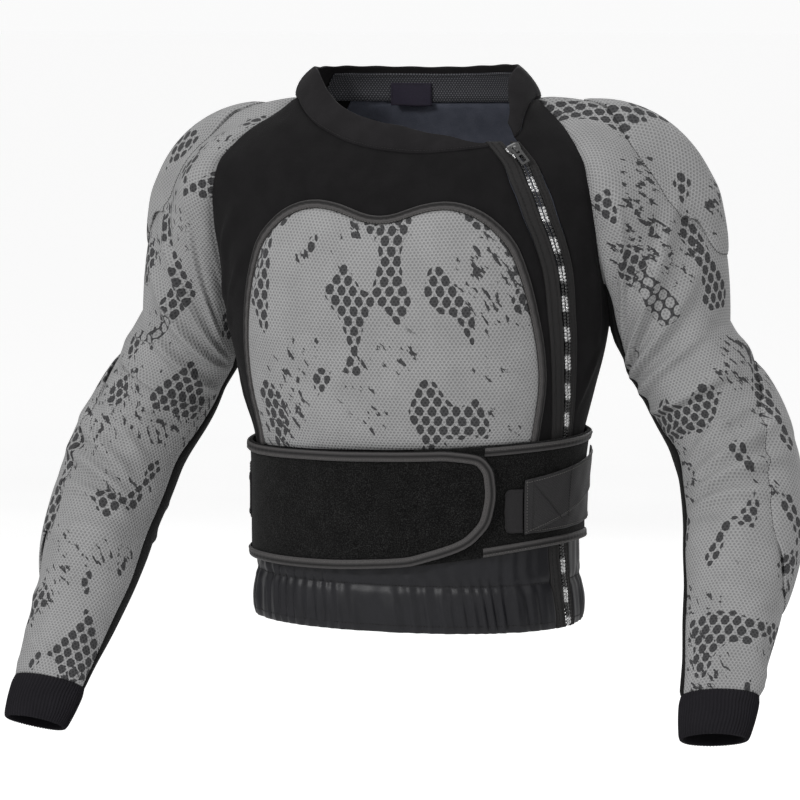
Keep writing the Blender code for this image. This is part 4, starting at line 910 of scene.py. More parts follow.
def velour_look():
    """Loop side of the belt's fastening: very dark, with a fine fuzz."""
    look = Look("belt", roughness=1.0, specular=0.06, sheen=0.06, sheen_roughness=0.5)
    fuzz = look.noise(look.space(), 950.0, 4.0, 0.7)
    soft = look.noise(look.space(), 60.0, 4.0)
    speck = look.ramp(fuzz, 0.42, 0.72)
    tint = look.mix(speck, (0.0030, 0.0030, 0.0030), (0.030, 0.030, 0.0295))
    scaled = look.node("ShaderNodeVectorMath", {0: tint}, operation="SCALE")
    look.feed(scaled.inputs["Scale"], look.ramp(soft, 0.3, 0.7, 0.85, 1.15))
    look.colour(scaled.outputs[0])
    look.bump(fuzz, 0.0006, 0.7)
    return look.material


def neck_mesh_look():
    """Dark mesh with light dots on the slant."""
    look = Look("neck_mesh", roughness=0.8, specular=0.25)
    u, v = look.flat()
    dot = look.lattice(u, v, 0.0030, 0.0022)
    share = look.ramp(dot, 0.0004, 0.0011)
    look.colour(look.mix(share, (0.13, 0.13, 0.14), (0.035, 0.036, 0.042)))
    look.bump(share, 0.0005, 0.6)
    return look.material


def plastic_look(name, colour, roughness=0.22):
    """Moulded glossy plastic with a slight ripple and soft wear."""
    look = Look(name, roughness=roughness, specular=1.0, coat=1.0)
    ripple = look.noise(look.space(), 500.0, 3.0)
    look.colour(look.mix(look.ramp(ripple, 0.3, 0.8), colour, tuple(c * 1.8 for c in colour)))
    look.rough(look.ramp(ripple, 0.2, 0.8, roughness * 0.7, roughness * 1.5))
    look.bump(ripple, 0.0002, 0.3)
    return look.material


def teeth_look():
    """Polished dark teeth with painted highlights: near-white glints painted into the colour in bursts along
    the chain, standing for a shine that comes and goes as the chain waves.
    """
    look = Look("zip_teeth", roughness=0.25, specular=1.0, coat=1.0)
    look.shader.inputs["Metallic"].default_value = 0.8
    w = look.node("ShaderNodeSeparateXYZ", {0: look.space()}).outputs["Z"]
    # Painted highlight: every 29 mm along the chain the colour turns near white, broken up by noise and faded
    # out towards the top of the zip.
    swing = look.math("SINE", look.math("MULTIPLY", w, 2 * math.pi / 0.029))
    uneven = look.noise(look.space(), 90.0, 2.0)
    painted_glint = look.ramp(look.math("ADD", swing, look.math("MULTIPLY", uneven, 1.6)), 0.55, 1.25)
    speckle = look.ramp(look.noise(look.space(), 700.0, 2.0), 0.40, 0.60)
    painted_glint = look.math("MULTIPLY", painted_glint, look.ramp(w, -0.060, -0.085))
    share = look.math("MULTIPLY", painted_glint, look.math("ADD", 0.35, look.math("MULTIPLY", speckle, 0.65)))
    # Near-black teeth colour with the painted glints mixed in.
    look.colour(look.mix(share, (0.018, 0.018, 0.018), (1.0, 1.0, 1.0)))
    look.bump(speckle, 0.0002, 0.4)
    return look.material


def thread_look(name, colour):
    look = Look(name, roughness=0.7, specular=0.3)
    twist = look.noise(look.space(), 2600.0, 2.0)
    dark, light = [tuple(c * scale for c in colour) for scale in (0.7, 1.3)]
    look.colour(look.mix(look.ramp(twist, 0.3, 0.7), dark, light))
    look.bump(twist, 0.0002, 0.5)
    return look.material


LOOKS = {
    "yoke": plain_look("yoke", (0.0105, 0.0100, 0.0105)),
    "collar": plain_look("collar", (0.0165, 0.0155, 0.0165), weave=0.0009),
    "under": plain_look("sleeve_under", (0.009, 0.009, 0.009)),
    # The lining's colour is set about three times lighter than its navy cloth: painted light making up for
    # the shade it lies in inside the neck.
    "lining": plain_look("lining", (0.105, 0.113, 0.145), roughness=0.7),
    "skirt": plain_look("skirt", (0.0080, 0.0080, 0.0105), roughness=0.42, specular=0.35, relief=0.1),
    "knit": plain_look("knit", (0.0155, 0.0145, 0.0175), weave=0.0011, relief=0.6, cloud=0.06),
    "label": ribbed_look("label", (0.020, 0.016, 0.030), pitch=0.0007, depth=0.0001),
    # The binding's colour carries painted shade along its middle and a light band at its edges that is partly
    # piping and partly painted highlight.
    "binding": ribbed_look("binding", (0.042, 0.040, 0.040), piping_and_highlight=(0.0036, 0.0016)),
    "tape": ribbed_look("tape", (0.022, 0.021, 0.021), pitch=0.0011),
    "strap": ribbed_look("strap", (0.029, 0.028, 0.029), pitch=0.0016),
    "tab": ribbed_look("tab", (0.020, 0.019, 0.020), pitch=0.0010, along=False, depth=0.0002),
    "belt": velour_look(),
    "neck_mesh": neck_mesh_look(),
    "zip": plastic_look("zip", (0.007, 0.007, 0.007)),
    "teeth": teeth_look(),
    "thread": thread_look("thread", (0.020, 0.019, 0.019)),
    "thread_light": thread_look("thread_light", (0.12, 0.115, 0.11)),
}
PRINTS = {
    "chest_pad": (0.53, 0.21), "sleeve_top_left": (1.27, 0.13), "sleeve_top_right": (2.61, 1.94),
}
for key, value in PRINTS.items():
    LOOKS[key] = mesh_look("mesh_" + key, value)


def fold_field(x, y, folds):
    """Height of a set of folds at places x, y in metres. Each row: start, end, half width, height."""
    height = np.zeros(np.broadcast(x, y).shape)
    for x0, y0, x1, y1, width, rise in folds:
        dx, dy = x1 - x0, y1 - y0
        length = math.hypot(dx, dy)
        t = ((x - x0) * dx + (y - y0) * dy) / length**2
        off = ((x - x0) * dy - (y - y0) * dx) / length
        inside = smooth(t, -0.15, 0.25) * smooth(t, 1.15, 0.55)
        shape = (1 - 0.9 * (off / width) ** 2) * np.exp(-(off / width) ** 2)
        height = height + rise * inside * shape
    return height


def torso_nets():
    """Fine angles and heights of the front and back nets, rows from the belt's lower edge up to the neck."""
    lower = np.linspace(-SKIRT_TOP, -ARMPIT_DROP, WAIST_CELLS + 1)[:-1]
    front_top = front_columns(neck_height(zip_angle(-ZIP_TOP)), 0.0)
    back_top = np.linspace(RAGLAN_BACK["angle"][-1], 360 - RAGLAN_BACK["angle"][-1], BACK_CELLS + 1)
    zip_top = neck_height(zip_angle(-ZIP_TOP))
    nets = {"front": [], "back": []}
    for z in lower:
        angles = front_columns(z, z)
        nets["front"].append((angles, np.full_like(angles, z)))
        angles = np.linspace(ARMPIT_ANGLE, 360 - ARMPIT_ANGLE, BACK_CELLS + 1)
        nets["back"].append((angles, np.full_like(angles, z)))
    for share in FINE_YOKE:
        side = height_at(share)
        zip_z = -ARMPIT_DROP * (1 - share) + zip_top * share
        angles = front_columns(zip_z, side)
        nets["front"].append((angles, -ARMPIT_DROP * (1 - share) + neck_height(front_top) * share))
        edge = through(RAGLAN_BACK["level"], RAGLAN_BACK["angle"], share)
        angles = np.linspace(edge, 360 - edge, BACK_CELLS + 1)
        nets["back"].append((angles, -ARMPIT_DROP * (1 - share) + neck_height(back_top) * share))
    return {key: tuple(np.array(part) for part in zip(*rows)) for key, rows in nets.items()}


def torso_folds(angle, z):
    """Slack of the yoke: soft drags from the arms to the chest panel and across the back."""
    x = around(angle) / 90 * 0.22
    slack = 0.0006 * np.sin(x * 90 + z * 40) * np.sin(z * 55 - x * 30)
    return fold_field(x, np.asarray(z), TORSO_FOLDS) + slack


TORSO_FOLDS = (
    (-0.185, -0.215, -0.125, -0.120, 0.007, 0.0030),
    (-0.170, -0.225, -0.110, -0.150, 0.006, 0.0026),
    (-0.190, -0.235, -0.120, -0.190, 0.006, 0.0022),
    (-0.155, -0.160, -0.100, -0.095, 0.008, 0.0020),
    (0.205, -0.235, 0.165, -0.130, 0.008, 0.0026),
    (0.215, -0.250, 0.175, -0.320, 0.009, 0.0024),
    (-0.205, -0.250, -0.175, -0.325, 0.009, 0.0024),
    (0.300, -0.180, 0.450, -0.230, 0.014, 0.0030),
    (-0.300, -0.180, -0.450, -0.230, 0.014, 0.0030),
    (0.280, -0.300, 0.430, -0.330, 0.016, 0.0028),
    (-0.280, -0.300, -0.430, -0.330, 0.016, 0.0028),
    (0.330, -0.060, 0.370, -0.200, 0.016, 0.0022),
    (-0.330, -0.060, -0.370, -0.200, 0.016, 0.0022),
)


def shared_normals(points, normals, edge_turns, column):
    rows = len(edge_turns)
    sleeve = sleeve_normal(edge_turns, np.full(rows, -0.985))
    if points[-1, column, 0] < 0:
        sleeve = mirrored(sleeve)
    normals[-rows:, column] = unit(normals[-rows:, column] + sleeve)


def seam_gap(grid, gap=SEAM):
    """The grid drawn in by half a seam's gap all round."""
    grid = grid.copy()
    for edge, inner in ((grid[0], grid[1]), (grid[-1], grid[-2]), (grid[:, 0], grid[:, 1]),
                        (grid[:, -1], grid[:, -2])):
        edge += unit(inner - edge) * gap / 2
    return grid


def make_panel(name, points, normals, thickness, look, lift=None, sides="tblr", uv=None):
    if lift is not None:
        points = points + normals * lift[..., None]
    outer = rolled(points, normals, sides)
    outer = seam_gap(outer)
    return cloth(name, outer, outer - normals * thickness, LOOKS[look], (name,), uv)


def seam_fade(points, reach=0.012):
    """0 on the sewn edges of a grid, rising to 1 away from them."""
    fade = np.ones(points.shape[:2])
    for distance in edge_distances(points):
        fade = fade * smooth(distance, 0.0, reach)
    return fade


nets = torso_nets()
turns_side = 180 - FINE_YOKE * (180 - NECK_PART)
angle, z = nets["front"]
front = torso_surface(angle, z)
front_normals = torso_normal(angle, z)
shared_normals(front, front_normals, turns_side, 0)
shared_normals(front, front_normals, turns_side, -1)
front_lift = torso_folds(angle, z)
right = FRONT_CELLS + 1
threads = []
for name, columns in (("body_front_right", slice(0, right)), ("body_front_left", slice(right + 2, None))):
    points, normals = front[:, columns], front_normals[:, columns]
    fade = seam_fade(points)
    make_panel(name, points, normals, CLOTH, "yoke", lift=front_lift[:, columns] * fade)
angle, z = nets["back"]
back = torso_surface(angle, z)
back_normals = torso_normal(angle, z)
shared_normals(back, back_normals, -turns_side, 0)
shared_normals(back, back_normals, -turns_side, -1)
make_panel("body_back", back, back_normals, CLOTH, "yoke",
           lift=torso_folds(angle, z) * seam_fade(back))
middle = slice(16, BACK_CELLS - 15)
lining_rows = np.flatnonzero(z[:, 0] > -LINING_DEPTH - NECK_DROP)[:-1:2]
outer = back[lining_rows][:, middle] - back_normals[lining_rows][:, middle] * (CLOTH + CLEAR)
cloth("back_lining", outer, outer - back_normals[lining_rows][:, middle] * LINING, LOOKS["lining"],
      ("back_lining",))


# Zip: tapes with a cord along each edge, two rows of interlocking teeth
def zip_rows(count):
    """Middle line of the zip from the hem to the neck, with its directions out and across."""
    z = np.linspace(-BODY_LENGTH, neck_height(zip_angle(-ZIP_TOP)), count)
    here = torso_surface(zip_angle(z), z)
    out = torso_normal(zip_angle(z), z)
    run = unit(np.gradient(here, axis=0))
    across = unit(np.cross(out, run))
    across = across * np.sign(across[:, :1])
    return here, out, run, across


def make_tape(name, start, width, side):
    here = zip_rows(260)[0]
    count = 15
    lanes = np.linspace(0, 1, count)
    ridge = 0.0009 * np.exp(-((lanes - 0.12) / 0.08) ** 2) + 0.0007 * np.exp(-((lanes - 0.86) / 0.07) ** 2)
    middle = zip_angle(here[:, 2])
    per_metre = degrees_for(1.0, middle, here[:, 2])
    angle_now = middle[:, None] + per_metre[:, None] * (side * (start + width * lanes))
    on_form = torso_surface(angle_now, np.broadcast_to(here[:, 2:3], angle_now.shape))
    form_normal = torso_normal(angle_now, np.broadcast_to(here[:, 2:3], angle_now.shape))
    points = on_form + form_normal * (ridge + 0.0001)[None, :, None]
    if side < 0:
        points, form_normal = points[:, ::-1], form_normal[:, ::-1]
    length = run_lengths(points, 0)
    uv = (length, run_lengths(points, 1))
    points[:, [0, -1]] -= form_normal[:, [0, -1]] * 0.0005
    cloth(name, points, points - form_normal * ZIP_TAPE_THICKNESS, LOOKS["tape"], (name,), uv)
    for lane_at in (0.30, 0.68):
        k = int(round(lane_at * (count - 1)))
        k = k if side > 0 else count - 1 - k
        threads.append(stitches(points[:, k], form_normal[:, k], pitch=0.0034, lift=0.0002))


half_chain = CHAIN_WIDTH / 2 + SEAM
make_tape("zip_tape_right", half_chain, ZIP_TAPE_RIGHT, -1)
make_tape("zip_tape_left", half_chain, ZIP_TAPE_LEFT, 1)


def make_teeth():
    """Moulded teeth: each a wedge with a rounded head that sits between two of the other side."""
    pitch = 0.0034
    here, out, run = zip_rows(400)[:3]
    length = np.concatenate([[0], np.cumsum(np.linalg.norm(np.diff(here, axis=0), axis=1))])
    end = length[-1] - SLIDER_LENGTH * 0.75
    profile = ((-0.50, 0.30), (-0.20, 0.36), (0.06, 0.50), (0.34, 0.34), (0.42, 0.0),
               (0.34, -0.34), (0.06, -0.50), (-0.20, -0.36), (-0.50, -0.30))
    all_points, all_faces = [], []
    base = 0
    for side in (-1, 1):
        places = np.arange(pitch * (0.5 if side < 0 else 1.0), end, pitch)
        centre = np.stack([np.interp(places, length, here[:, k]) for k in range(3)], -1)
        up = unit(np.stack([np.interp(places, length, out[:, k]) for k in range(3)], -1))
        along = unit(np.stack([np.interp(places, length, run[:, k]) for k in range(3)], -1))
        side_way = unit(np.cross(along, up))
        side_way = side_way * np.sign(side_way[:, :1]) * side
        wave = 0.0004 * np.sin(places * 2 * np.pi / 0.028)
        tip = []
        for reach, half in profile:
            tip.append((-reach * CHAIN_WIDTH * 0.50 + CHAIN_WIDTH * 0.25, half * pitch * 1.12))
        levels = ((-0.0006, 0.96), (CHAIN_HEIGHT * 0.55, 1.0), (CHAIN_HEIGHT * 1.05, 0.84),
                  (CHAIN_HEIGHT * 1.25, 0.45))
        rings = []
        for height, size in levels:
            ring = []
            for lateral, ahead in tip:
                middle = CHAIN_WIDTH * 0.25
                offset = middle + (lateral - middle) * size
                ring.append(centre + side_way * offset + along * (ahead * size)
                            + up * (height + wave)[:, None])
            rings.append(np.stack(ring, 1))
        block = np.stack(rings, 1)
        teeth, tiers, corners = block.shape[:3]
        index = base + np.arange(teeth * tiers * corners).reshape(teeth, tiers, corners)
        nxt = np.roll(index, -1, axis=2)
        all_faces.append(np.stack([index[:, :-1], index[:, 1:], nxt[:, 1:], nxt[:, :-1]], -1).reshape(-1, 4))
        for tier in (0, tiers - 1):
            for k in range(1, corners - 2, 2):
                cap = index[:, tier]
                all_faces.append(np.stack([cap[:, 0], cap[:, k], cap[:, k + 1], cap[:, k + 2]], -1))
        all_points.append(block.reshape(-1, 3))
        base += teeth * tiers * corners
    teeth = solid("zip_teeth", np.concatenate(all_points), np.concatenate(all_faces), LOOKS["teeth"],
                  replaces=("zip_chain",), sharp=50)
    return teeth


make_teeth()


# Sleeves
def sleeve_place(turn, along):
    """Metres round the arm and down it, near enough to lay folds out."""
    return np.radians(around(turn)) * 0.055, np.where(along < 0, along * 0.19, along * 0.37)


# Folds of the sleeves: start and end as angle round the arm and place along it, then half width and
# height in metres
ARMPIT_FOLDS = (
    (150, -0.14, 44, -0.38, 0.009, 0.0078),
    (152, -0.03, 36, -0.16, 0.009, 0.0086),
    (156, 0.05, 40, -0.01, 0.008, 0.0078),
    (150, 0.12, 28, 0.11, 0.009, 0.0070),
    (140, -0.30, 84, -0.72, 0.008, 0.0050),
    (146, 0.21, 60, 0.34, 0.008, 0.0048),
)
ELBOW_FOLDS = (
    (124, 0.44, 10, 0.30, 0.009, 0.0066),
    (128, 0.49, 14, 0.39, 0.008, 0.0070),
    (136, 0.54, 26, 0.50, 0.009, 0.0058),
    (140, 0.60, 36, 0.63, 0.009, 0.0042),
    (132, 0.38, 46, 0.26, 0.008, 0.0036),
    (-150, 0.44, -108, 0.40, 0.009, 0.0030),
    (-154, 0.52, -110, 0.55, 0.008, 0.0028),
)
CUFF_FOLDS = (
    (110, 0.93, 20, 0.86, 0.008, 0.0022),
    (-60, 0.94, 30, 0.95, 0.009, 0.0016),
    (60, 0.80, -10, 0.74, 0.010, 0.0018),
    (-40, 0.84, -120, 0.90, 0.010, 0.0018),
    (40, 0.98, -30, 0.97, 0.006, 0.0014),
)
BACK_SLEEVE_FOLDS = (
    (-60, -0.30, -120, 0.02, 0.012, 0.0034),
    (-40, -0.05, -120, 0.14, 0.011, 0.0030),
    (-150, -0.06, -90, -0.30, 0.009, 0.0030),
    (20, 0.06, -50, 0.13, 0.013, 0.0022),
)


def sleeve_lift(turn, along, side):
    """Height of the sleeve's folds."""
    x, y = sleeve_place(turn, along)
    rows = []
    mirror_shift = 0.0 if side == "left" else 0.035
    for folds in (ARMPIT_FOLDS, ELBOW_FOLDS, CUFF_FOLDS, BACK_SLEEVE_FOLDS):
        for t0, a0, t1, a1, width, rise in folds:
            x0, y0 = sleeve_place(t0, np.array(a0 + mirror_shift))
            x1, y1 = sleeve_place(t1, np.array(a1 + mirror_shift * 0.4))
            rows.append((float(x0), float(y0), float(x1), float(y1), width, rise))
    slack = 0.0009 * np.sin(x * 95 + y * 31 + mirror_shift * 60) * np.sin(y * 46 - x * 22)
    return fold_field(x, y, rows) + slack


SLEEVE_FLAT = {}


def sleeve_flat(side, turn, along):
    """Layout of the top sleeve at given turns and places along the arm."""
    turns, rows, u, v = SLEEVE_FLAT[side]
    order = 1 if turns[-1] > turns[0] else -1
    column = np.interp(turn, turns[::order], np.arange(len(turns))[::order])
    row = np.interp(along, rows, np.arange(len(rows)))
    return sampled(u, row, column), sampled(v, row, column)


def sleeve_net():
    turns = np.concatenate([turns_side, np.linspace(NECK_PART, -NECK_PART, 33)[1:-1], -turns_side[::-1]])
    rows = np.concatenate([refined((-1, -0.82, -0.5, -0.13), SHOULDER_CELLS // 3)[:-1],
                           np.linspace(-0.13, 0, 10)[:-1], np.linspace(0, 1, ARM_CELLS)])
    return turns, rows


def make_sleeve(side, slip):
    turns, rows = sleeve_net()
    turn, along = np.meshgrid(turns, rows)
    points = sleeve_surface(turn, along, slip)
    normals = sleeve_normal(turn, along, slip)
    count = len(turns_side)
    torso = np.concatenate([raglan_torso_normal(turns[:count], 1), normals[0, count:-count],
                            raglan_torso_normal(turns[-count:], -1)])
    normals[0] = unit(normals[0] + torso)
    lift = sleeve_lift(turn, along, side)
    if side == "right":
        points, normals = mirrored(points), mirrored(normals)
    front_share = UNDER_SHARE_FRONT if side == "left" else UNDER_SHARE_FRONT_RIGHT
    first = int(np.argmin(np.abs(FINE_YOKE - front_share)))
    last = len(turns) - 1 - int(np.argmin(np.abs(FINE_YOKE - UNDER_SHARE_BACK)))
    top = list(range(first, last + 1))
    under = list(range(last, len(turns) - 1)) + list(range(0, first + 1))
    for name, columns, look in (("sleeve_top_" + side, top, "sleeve_top_" + side),
                                ("sleeve_under_" + side, under, "under")):
        outer, out = points[:, columns], normals[:, columns]
        if side == "right":
            outer, out = outer[:, ::-1], out[:, ::-1]
        height = lift[:, columns] if side == "left" else lift[:, columns][:, ::-1]
        if look == "under":
            uv = (run_lengths(outer, 1), run_lengths(outer, 0))
        else:
            uv = unwrapped(outer)
            flip = -1 if side == "right" else 1
            SLEEVE_FLAT[side] = (turns[columns][::flip], rows, uv[0], uv[1])
        fade = np.ones(outer.shape[:2])
        for distance, reach in zip(edge_distances(outer)[:2], (0.014, 0.006)):
            fade = fade * smooth(distance, 0.0, reach)
        lifted = outer + out * (height * fade)[..., None]
        shaped = seam_gap(rolled(lifted, out))
        cloth(name, shaped, shaped - out * CLOTH, LOOKS[look], (name,), uv)
    return points, normals


for side, slip in (("left", 0.0), ("right", RIGHT_SLEEVE_SLIP)):
    make_sleeve(side, slip)


def make_cuff(side, slip):
    """Ribbed knit cuff: fine ribs that spread and waver a little, a turned lower edge."""
    ribs = 62
    columns = ribs * 6
    rows = 18
    turn = np.linspace(-180, 180, columns, endpoint=False)
    end = 1.0 + CUFF_LENGTH / ARM_DROP
    start = 1.0 + 2 * SEAM / ARM_DROP
    share = np.linspace(0, 1, rows)[:, None]
    waver = 2.2 * np.sin(share * 5.0 + turn[None, :] / 40) * smooth(share, 0, 0.4)
    angle = turn[None, :] + waver
    along = np.broadcast_to(start + (end - start) * share, angle.shape)
    rib = 0.5 + 0.5 * np.cos(2 * np.pi * np.arange(columns) / 6)[None, :]
    rib = rib ** 0.7 * 0.0013
    drawn = -0.0012 * np.exp(-(share / 0.10) ** 2) - 0.0008 * np.exp(-((1 - share) / 0.05) ** 2)
    swell = 0.0010 * np.sin(np.pi * share) + 0.0008 * np.sin(np.radians(turn) * 2 + 1)[None, :] * share
    lift = rib - 0.0008 + drawn + swell
    points = sleeve_surface(angle, along, slip)
    normals = sleeve_normal(np.broadcast_to(turn, angle.shape), along, slip)
    outer = points + normals * lift[..., None]
    inner = points - normals * (CUFF_THICKNESS + 0.0004)
    uv = (run_lengths(points, 1), run_lengths(points, 0))
    if side == "right":
        outer, inner = mirrored(outer)[:, ::-1], mirrored(inner)[:, ::-1]
    cloth("cuff_" + side, outer, inner, LOOKS["knit"], ("cuff_" + side,), uv, closed=True)


for side, slip in (("left", 0.0), ("right", RIGHT_SLEEVE_SLIP)):
    make_cuff(side, slip)


# Collar, the mesh strip inside its back, and the bare label
def make_collar():
    shares = (0.0, 0.06, 0.15, 0.3, 0.45, 0.6, 0.75, 0.88, 0.96, 1.0)
    neck_front = front[-1]
    count = 40
    left_neck = sleeve_surface(np.linspace(NECK_PART, -NECK_PART, count), np.full(count, -1.0))
    right_neck = mirrored(left_neck)[::-1]
    base = np.concatenate([neck_front[right + 2:], left_neck[1:-1], back[-1], right_neck[1:-1],
                           neck_front[:right]])
    angle = np.degrees(np.arctan2(base[:, 0] / RIM_HALF_WIDTH, -base[:, 1] / RIM_FRONT_DEPTH))
    angle = np.unwrap(angle, period=360)
    points = collar_rows(base, angle, shares)
    normals = grid_normals(points)
    band = np.clip(collar_band(angle) / COLLAR_HEIGHT, 0, 1)[None, :]
    share = np.array(shares)[:, None]
    turn = np.radians(angle)[None, :]
    ripple = 0.0007 * np.sin(turn * 9 + 1.3) * np.sin(np.pi * share) + 0.0006 * np.sin(turn * 17) * share
    plump = 0.0016 * np.sin(np.pi * np.clip(share, 0, 1)) ** 0.6 * band
    groove = -0.0010 * np.exp(-(share / 0.08) ** 2)
    lifted = points + normals * (ripple * band + plump + groove)[..., None]
    lifted = seam_gap(lifted, 2 * SEAM)
    cloth("collar", lifted, points - normals * COLLAR_THICKNESS, LOOKS["collar"], ("collar",))
    path, out = grid_path(lifted, normals, "t", 0.0022)
    threads.append(stitches(path, out, pitch=0.0030, lift=0.0001))
    chosen = np.flatnonzero((angle > 112) & (angle < 248))
    strip = collar_rows(base[chosen], angle[chosen], np.linspace(0.04, NECK_MESH_SHARE, 8))
    strip[0] -= np.array([0, 0, 0.004])
    strip_normals = normals[5][chosen]
    lift = COLLAR_THICKNESS + CLEAR
    outer = strip - strip_normals * lift
    cloth("back_neck_mesh", outer, outer - strip_normals * LINING, LOOKS["neck_mesh"], ("back_neck_mesh",))
    edge = outer[-1] - strip_normals * (LINING + 0.0002)
    threads.append(stitches(edge - np.array([0, 0, 0.0016]), -strip_normals, pitch=0.0032))
    label_line = collar_rows(base[chosen], angle[chosen], (LABEL_TOP,))[0]
    make_label(label_line, strip_normals, angle[chosen], lift + LINING + CLEAR)


def make_label(line, normals, angle, lift):
    reach = math.degrees(LABEL_WIDTH / 2 / RIM_HALF_WIDTH)
    count = 41
    chosen = LABEL_ANGLE + np.linspace(-reach, reach, count)
    top = np.stack([np.interp(chosen, angle, line[:, k]) for k in range(3)], -1)
    normal = unit(np.stack([np.interp(chosen, angle, normals[:, k]) for k in range(3)], -1))
    top = top - normal * (lift + LABEL_STAND_OFF)
    share = np.linspace(0, 1, 22)[:, None, None]
    across = np.linspace(-1, 1, count)[None, :, None]
    hang = np.array([0, 0, -LABEL_HEIGHT])
    curl = -0.0010 * share**2 * (0.4 + across**2) + 0.0005 * np.sin(across * 4 + share * 3) * share
    outer = top[None] + hang * share + normal[None] * (curl * -1.0)
    uv = (run_lengths(outer, 1), run_lengths(outer, 0))
    face = outer - normal[None] * LINING * 0.5
    cloth("neck_label", outer, face, LOOKS["label"], ("neck_label",), uv)
    for path in (face[1, 2:-2], face[-2, 2:-2], face[1:-1, 1], face[1:-1, -2]):
        inward = -np.broadcast_to(normal[count // 2], path.shape)
        threads.append(stitches(path, inward, pitch=0.0020, radius=0.00022, rise=0.0002, lift=0.0001))


make_collar()


# Chest pad and its ribbed binding
def make_chest():
    angle, z = chest_path()
    steps = np.linspace(0, 1, len(angle))
    fine = np.linspace(0, 1, 420)
    angle, z = np.interp(fine, steps, angle), np.interp(fine, steps, z)
    angle, z = softened(angle, 4), softened(z, 4)
    lanes = np.linspace(0, 1, 13)
    strips = [inset(angle, z, BINDING_WIDTH * lane) for lane in lanes]
    strip_angle = np.stack([a for a, _ in strips])
    strip_z = np.stack([h for _, h in strips])
    low = 2 * CLEAR
    crest = (np.sin(np.pi * lanes) ** 0.35 - 0.35 * np.exp(-((lanes - 0.5) / 0.10) ** 2))[:, None]
    crest = crest * (BINDING_THICKNESS * 0.9)
    pucker = 0.00025 * np.sin(fine * 420)[None, :] * np.sin(np.pi * lanes)[:, None]
    height = low + 0.0005 + crest + pucker
    outer = on_torso(strip_angle, strip_z, height)
    inner = on_torso(strip_angle, strip_z, np.full(strip_angle.shape, low))
    outer, inner = outer[:, ::-1], inner[:, ::-1]
    cloth("chest_binding", outer, inner, LOOKS["binding"], ("chest_binding",))
    normals = grid_normals(outer)
    path, out = grid_path(outer, normals, "b", 0.0019)
    threads_light.append(stitches(path, out, pitch=0.0030, lift=0.00015, radius=0.00042))
    pad_angle, pad_z = inset(angle, z, BINDING_WIDTH + 0.0004)
    make_chest_pad(pad_angle, pad_z)


def softened(values, rounds):
    values = values.copy()
    for _ in range(rounds):
        values[1:-1] = (values[:-2] + 2 * values[1:-1] + values[2:]) / 4
    return values


def make_chest_pad(angle, z):
    count = len(angle)
    corner = int(count * CHEST_CORNER / (2 * (len(CHEST_OUTLINE["across"]) - 1)))
    left_side = (angle[:corner + 1], z[:corner + 1])
    top = (angle[corner:count - corner], z[corner:count - corner])
    right_side = (angle[::-1][:corner + 1], z[::-1][:corner + 1])
    columns = 130
    rows = 88
    pick = np.linspace(0, len(top[0]) - 1, columns)
    pick_side = np.linspace(0, corner, rows)
    across = np.linspace(0, 1, columns)
    up = np.linspace(0, 1, rows)[:, None]
    top = [np.interp(pick, np.arange(len(t)), t) for t in top]
    left_side = [np.interp(pick_side, np.arange(corner + 1), t) for t in left_side]
    right_side = [np.interp(pick_side, np.arange(corner + 1), t) for t in right_side]
    bottom_angle = left_side[0][0] + (right_side[0][0] - left_side[0][0]) * across
    bottom = (bottom_angle, belt_top(bottom_angle) + 2 * CLEAR)
    grids = []
    for k in range(2):
        ruled = bottom[k] * (1 - up) + top[k] * up
        sided = left_side[k][:, None] * (1 - across) + right_side[k][:, None] * across
        corners = ((1 - up) * (bottom[k][0] * (1 - across) + bottom[k][-1] * across)
                   + up * (top[k][0] * (1 - across) + top[k][-1] * across))
        grids.append(ruled + sided - corners)
    crown = bulge(across)[None, :] * bulge(up)
    x = grids[0] / 57 * 0.155
    slack = (fold_field(x, grids[1], CHEST_FOLDS)
             + 0.0007 * np.sin(x * 60 + grids[1] * 35) * np.sin(grids[1] * 48 - x * 20))
    lift = 0.0016 + (CHEST_PAD_LIFT - 0.0016) * crown ** 0.8 + slack * smooth(crown, 0.05, 0.5)
    outer = on_torso(grids[0], grids[1], lift)
    inner = on_torso(grids[0], grids[1], np.full(lift.shape, 2 * CLEAR))
    uv = unwrapped(inner[::-1])
    uv = (uv[0][::-1], uv[1][::-1])
    pad = cloth("chest_pad", outer, inner, LOOKS["chest_pad"], ("chest_pad",), uv)


CHEST_FOLDS = (
    (-0.140, -0.335, -0.060, -0.300, 0.012, 0.0016),
    (0.020, -0.340, 0.110, -0.300, 0.012, 0.0014),
    (-0.120, -0.180, -0.080, -0.240, 0.014, 0.0012),
    (0.120, -0.170, 0.080, -0.250, 0.014, 0.0012),
)
threads_light = []
make_chest()


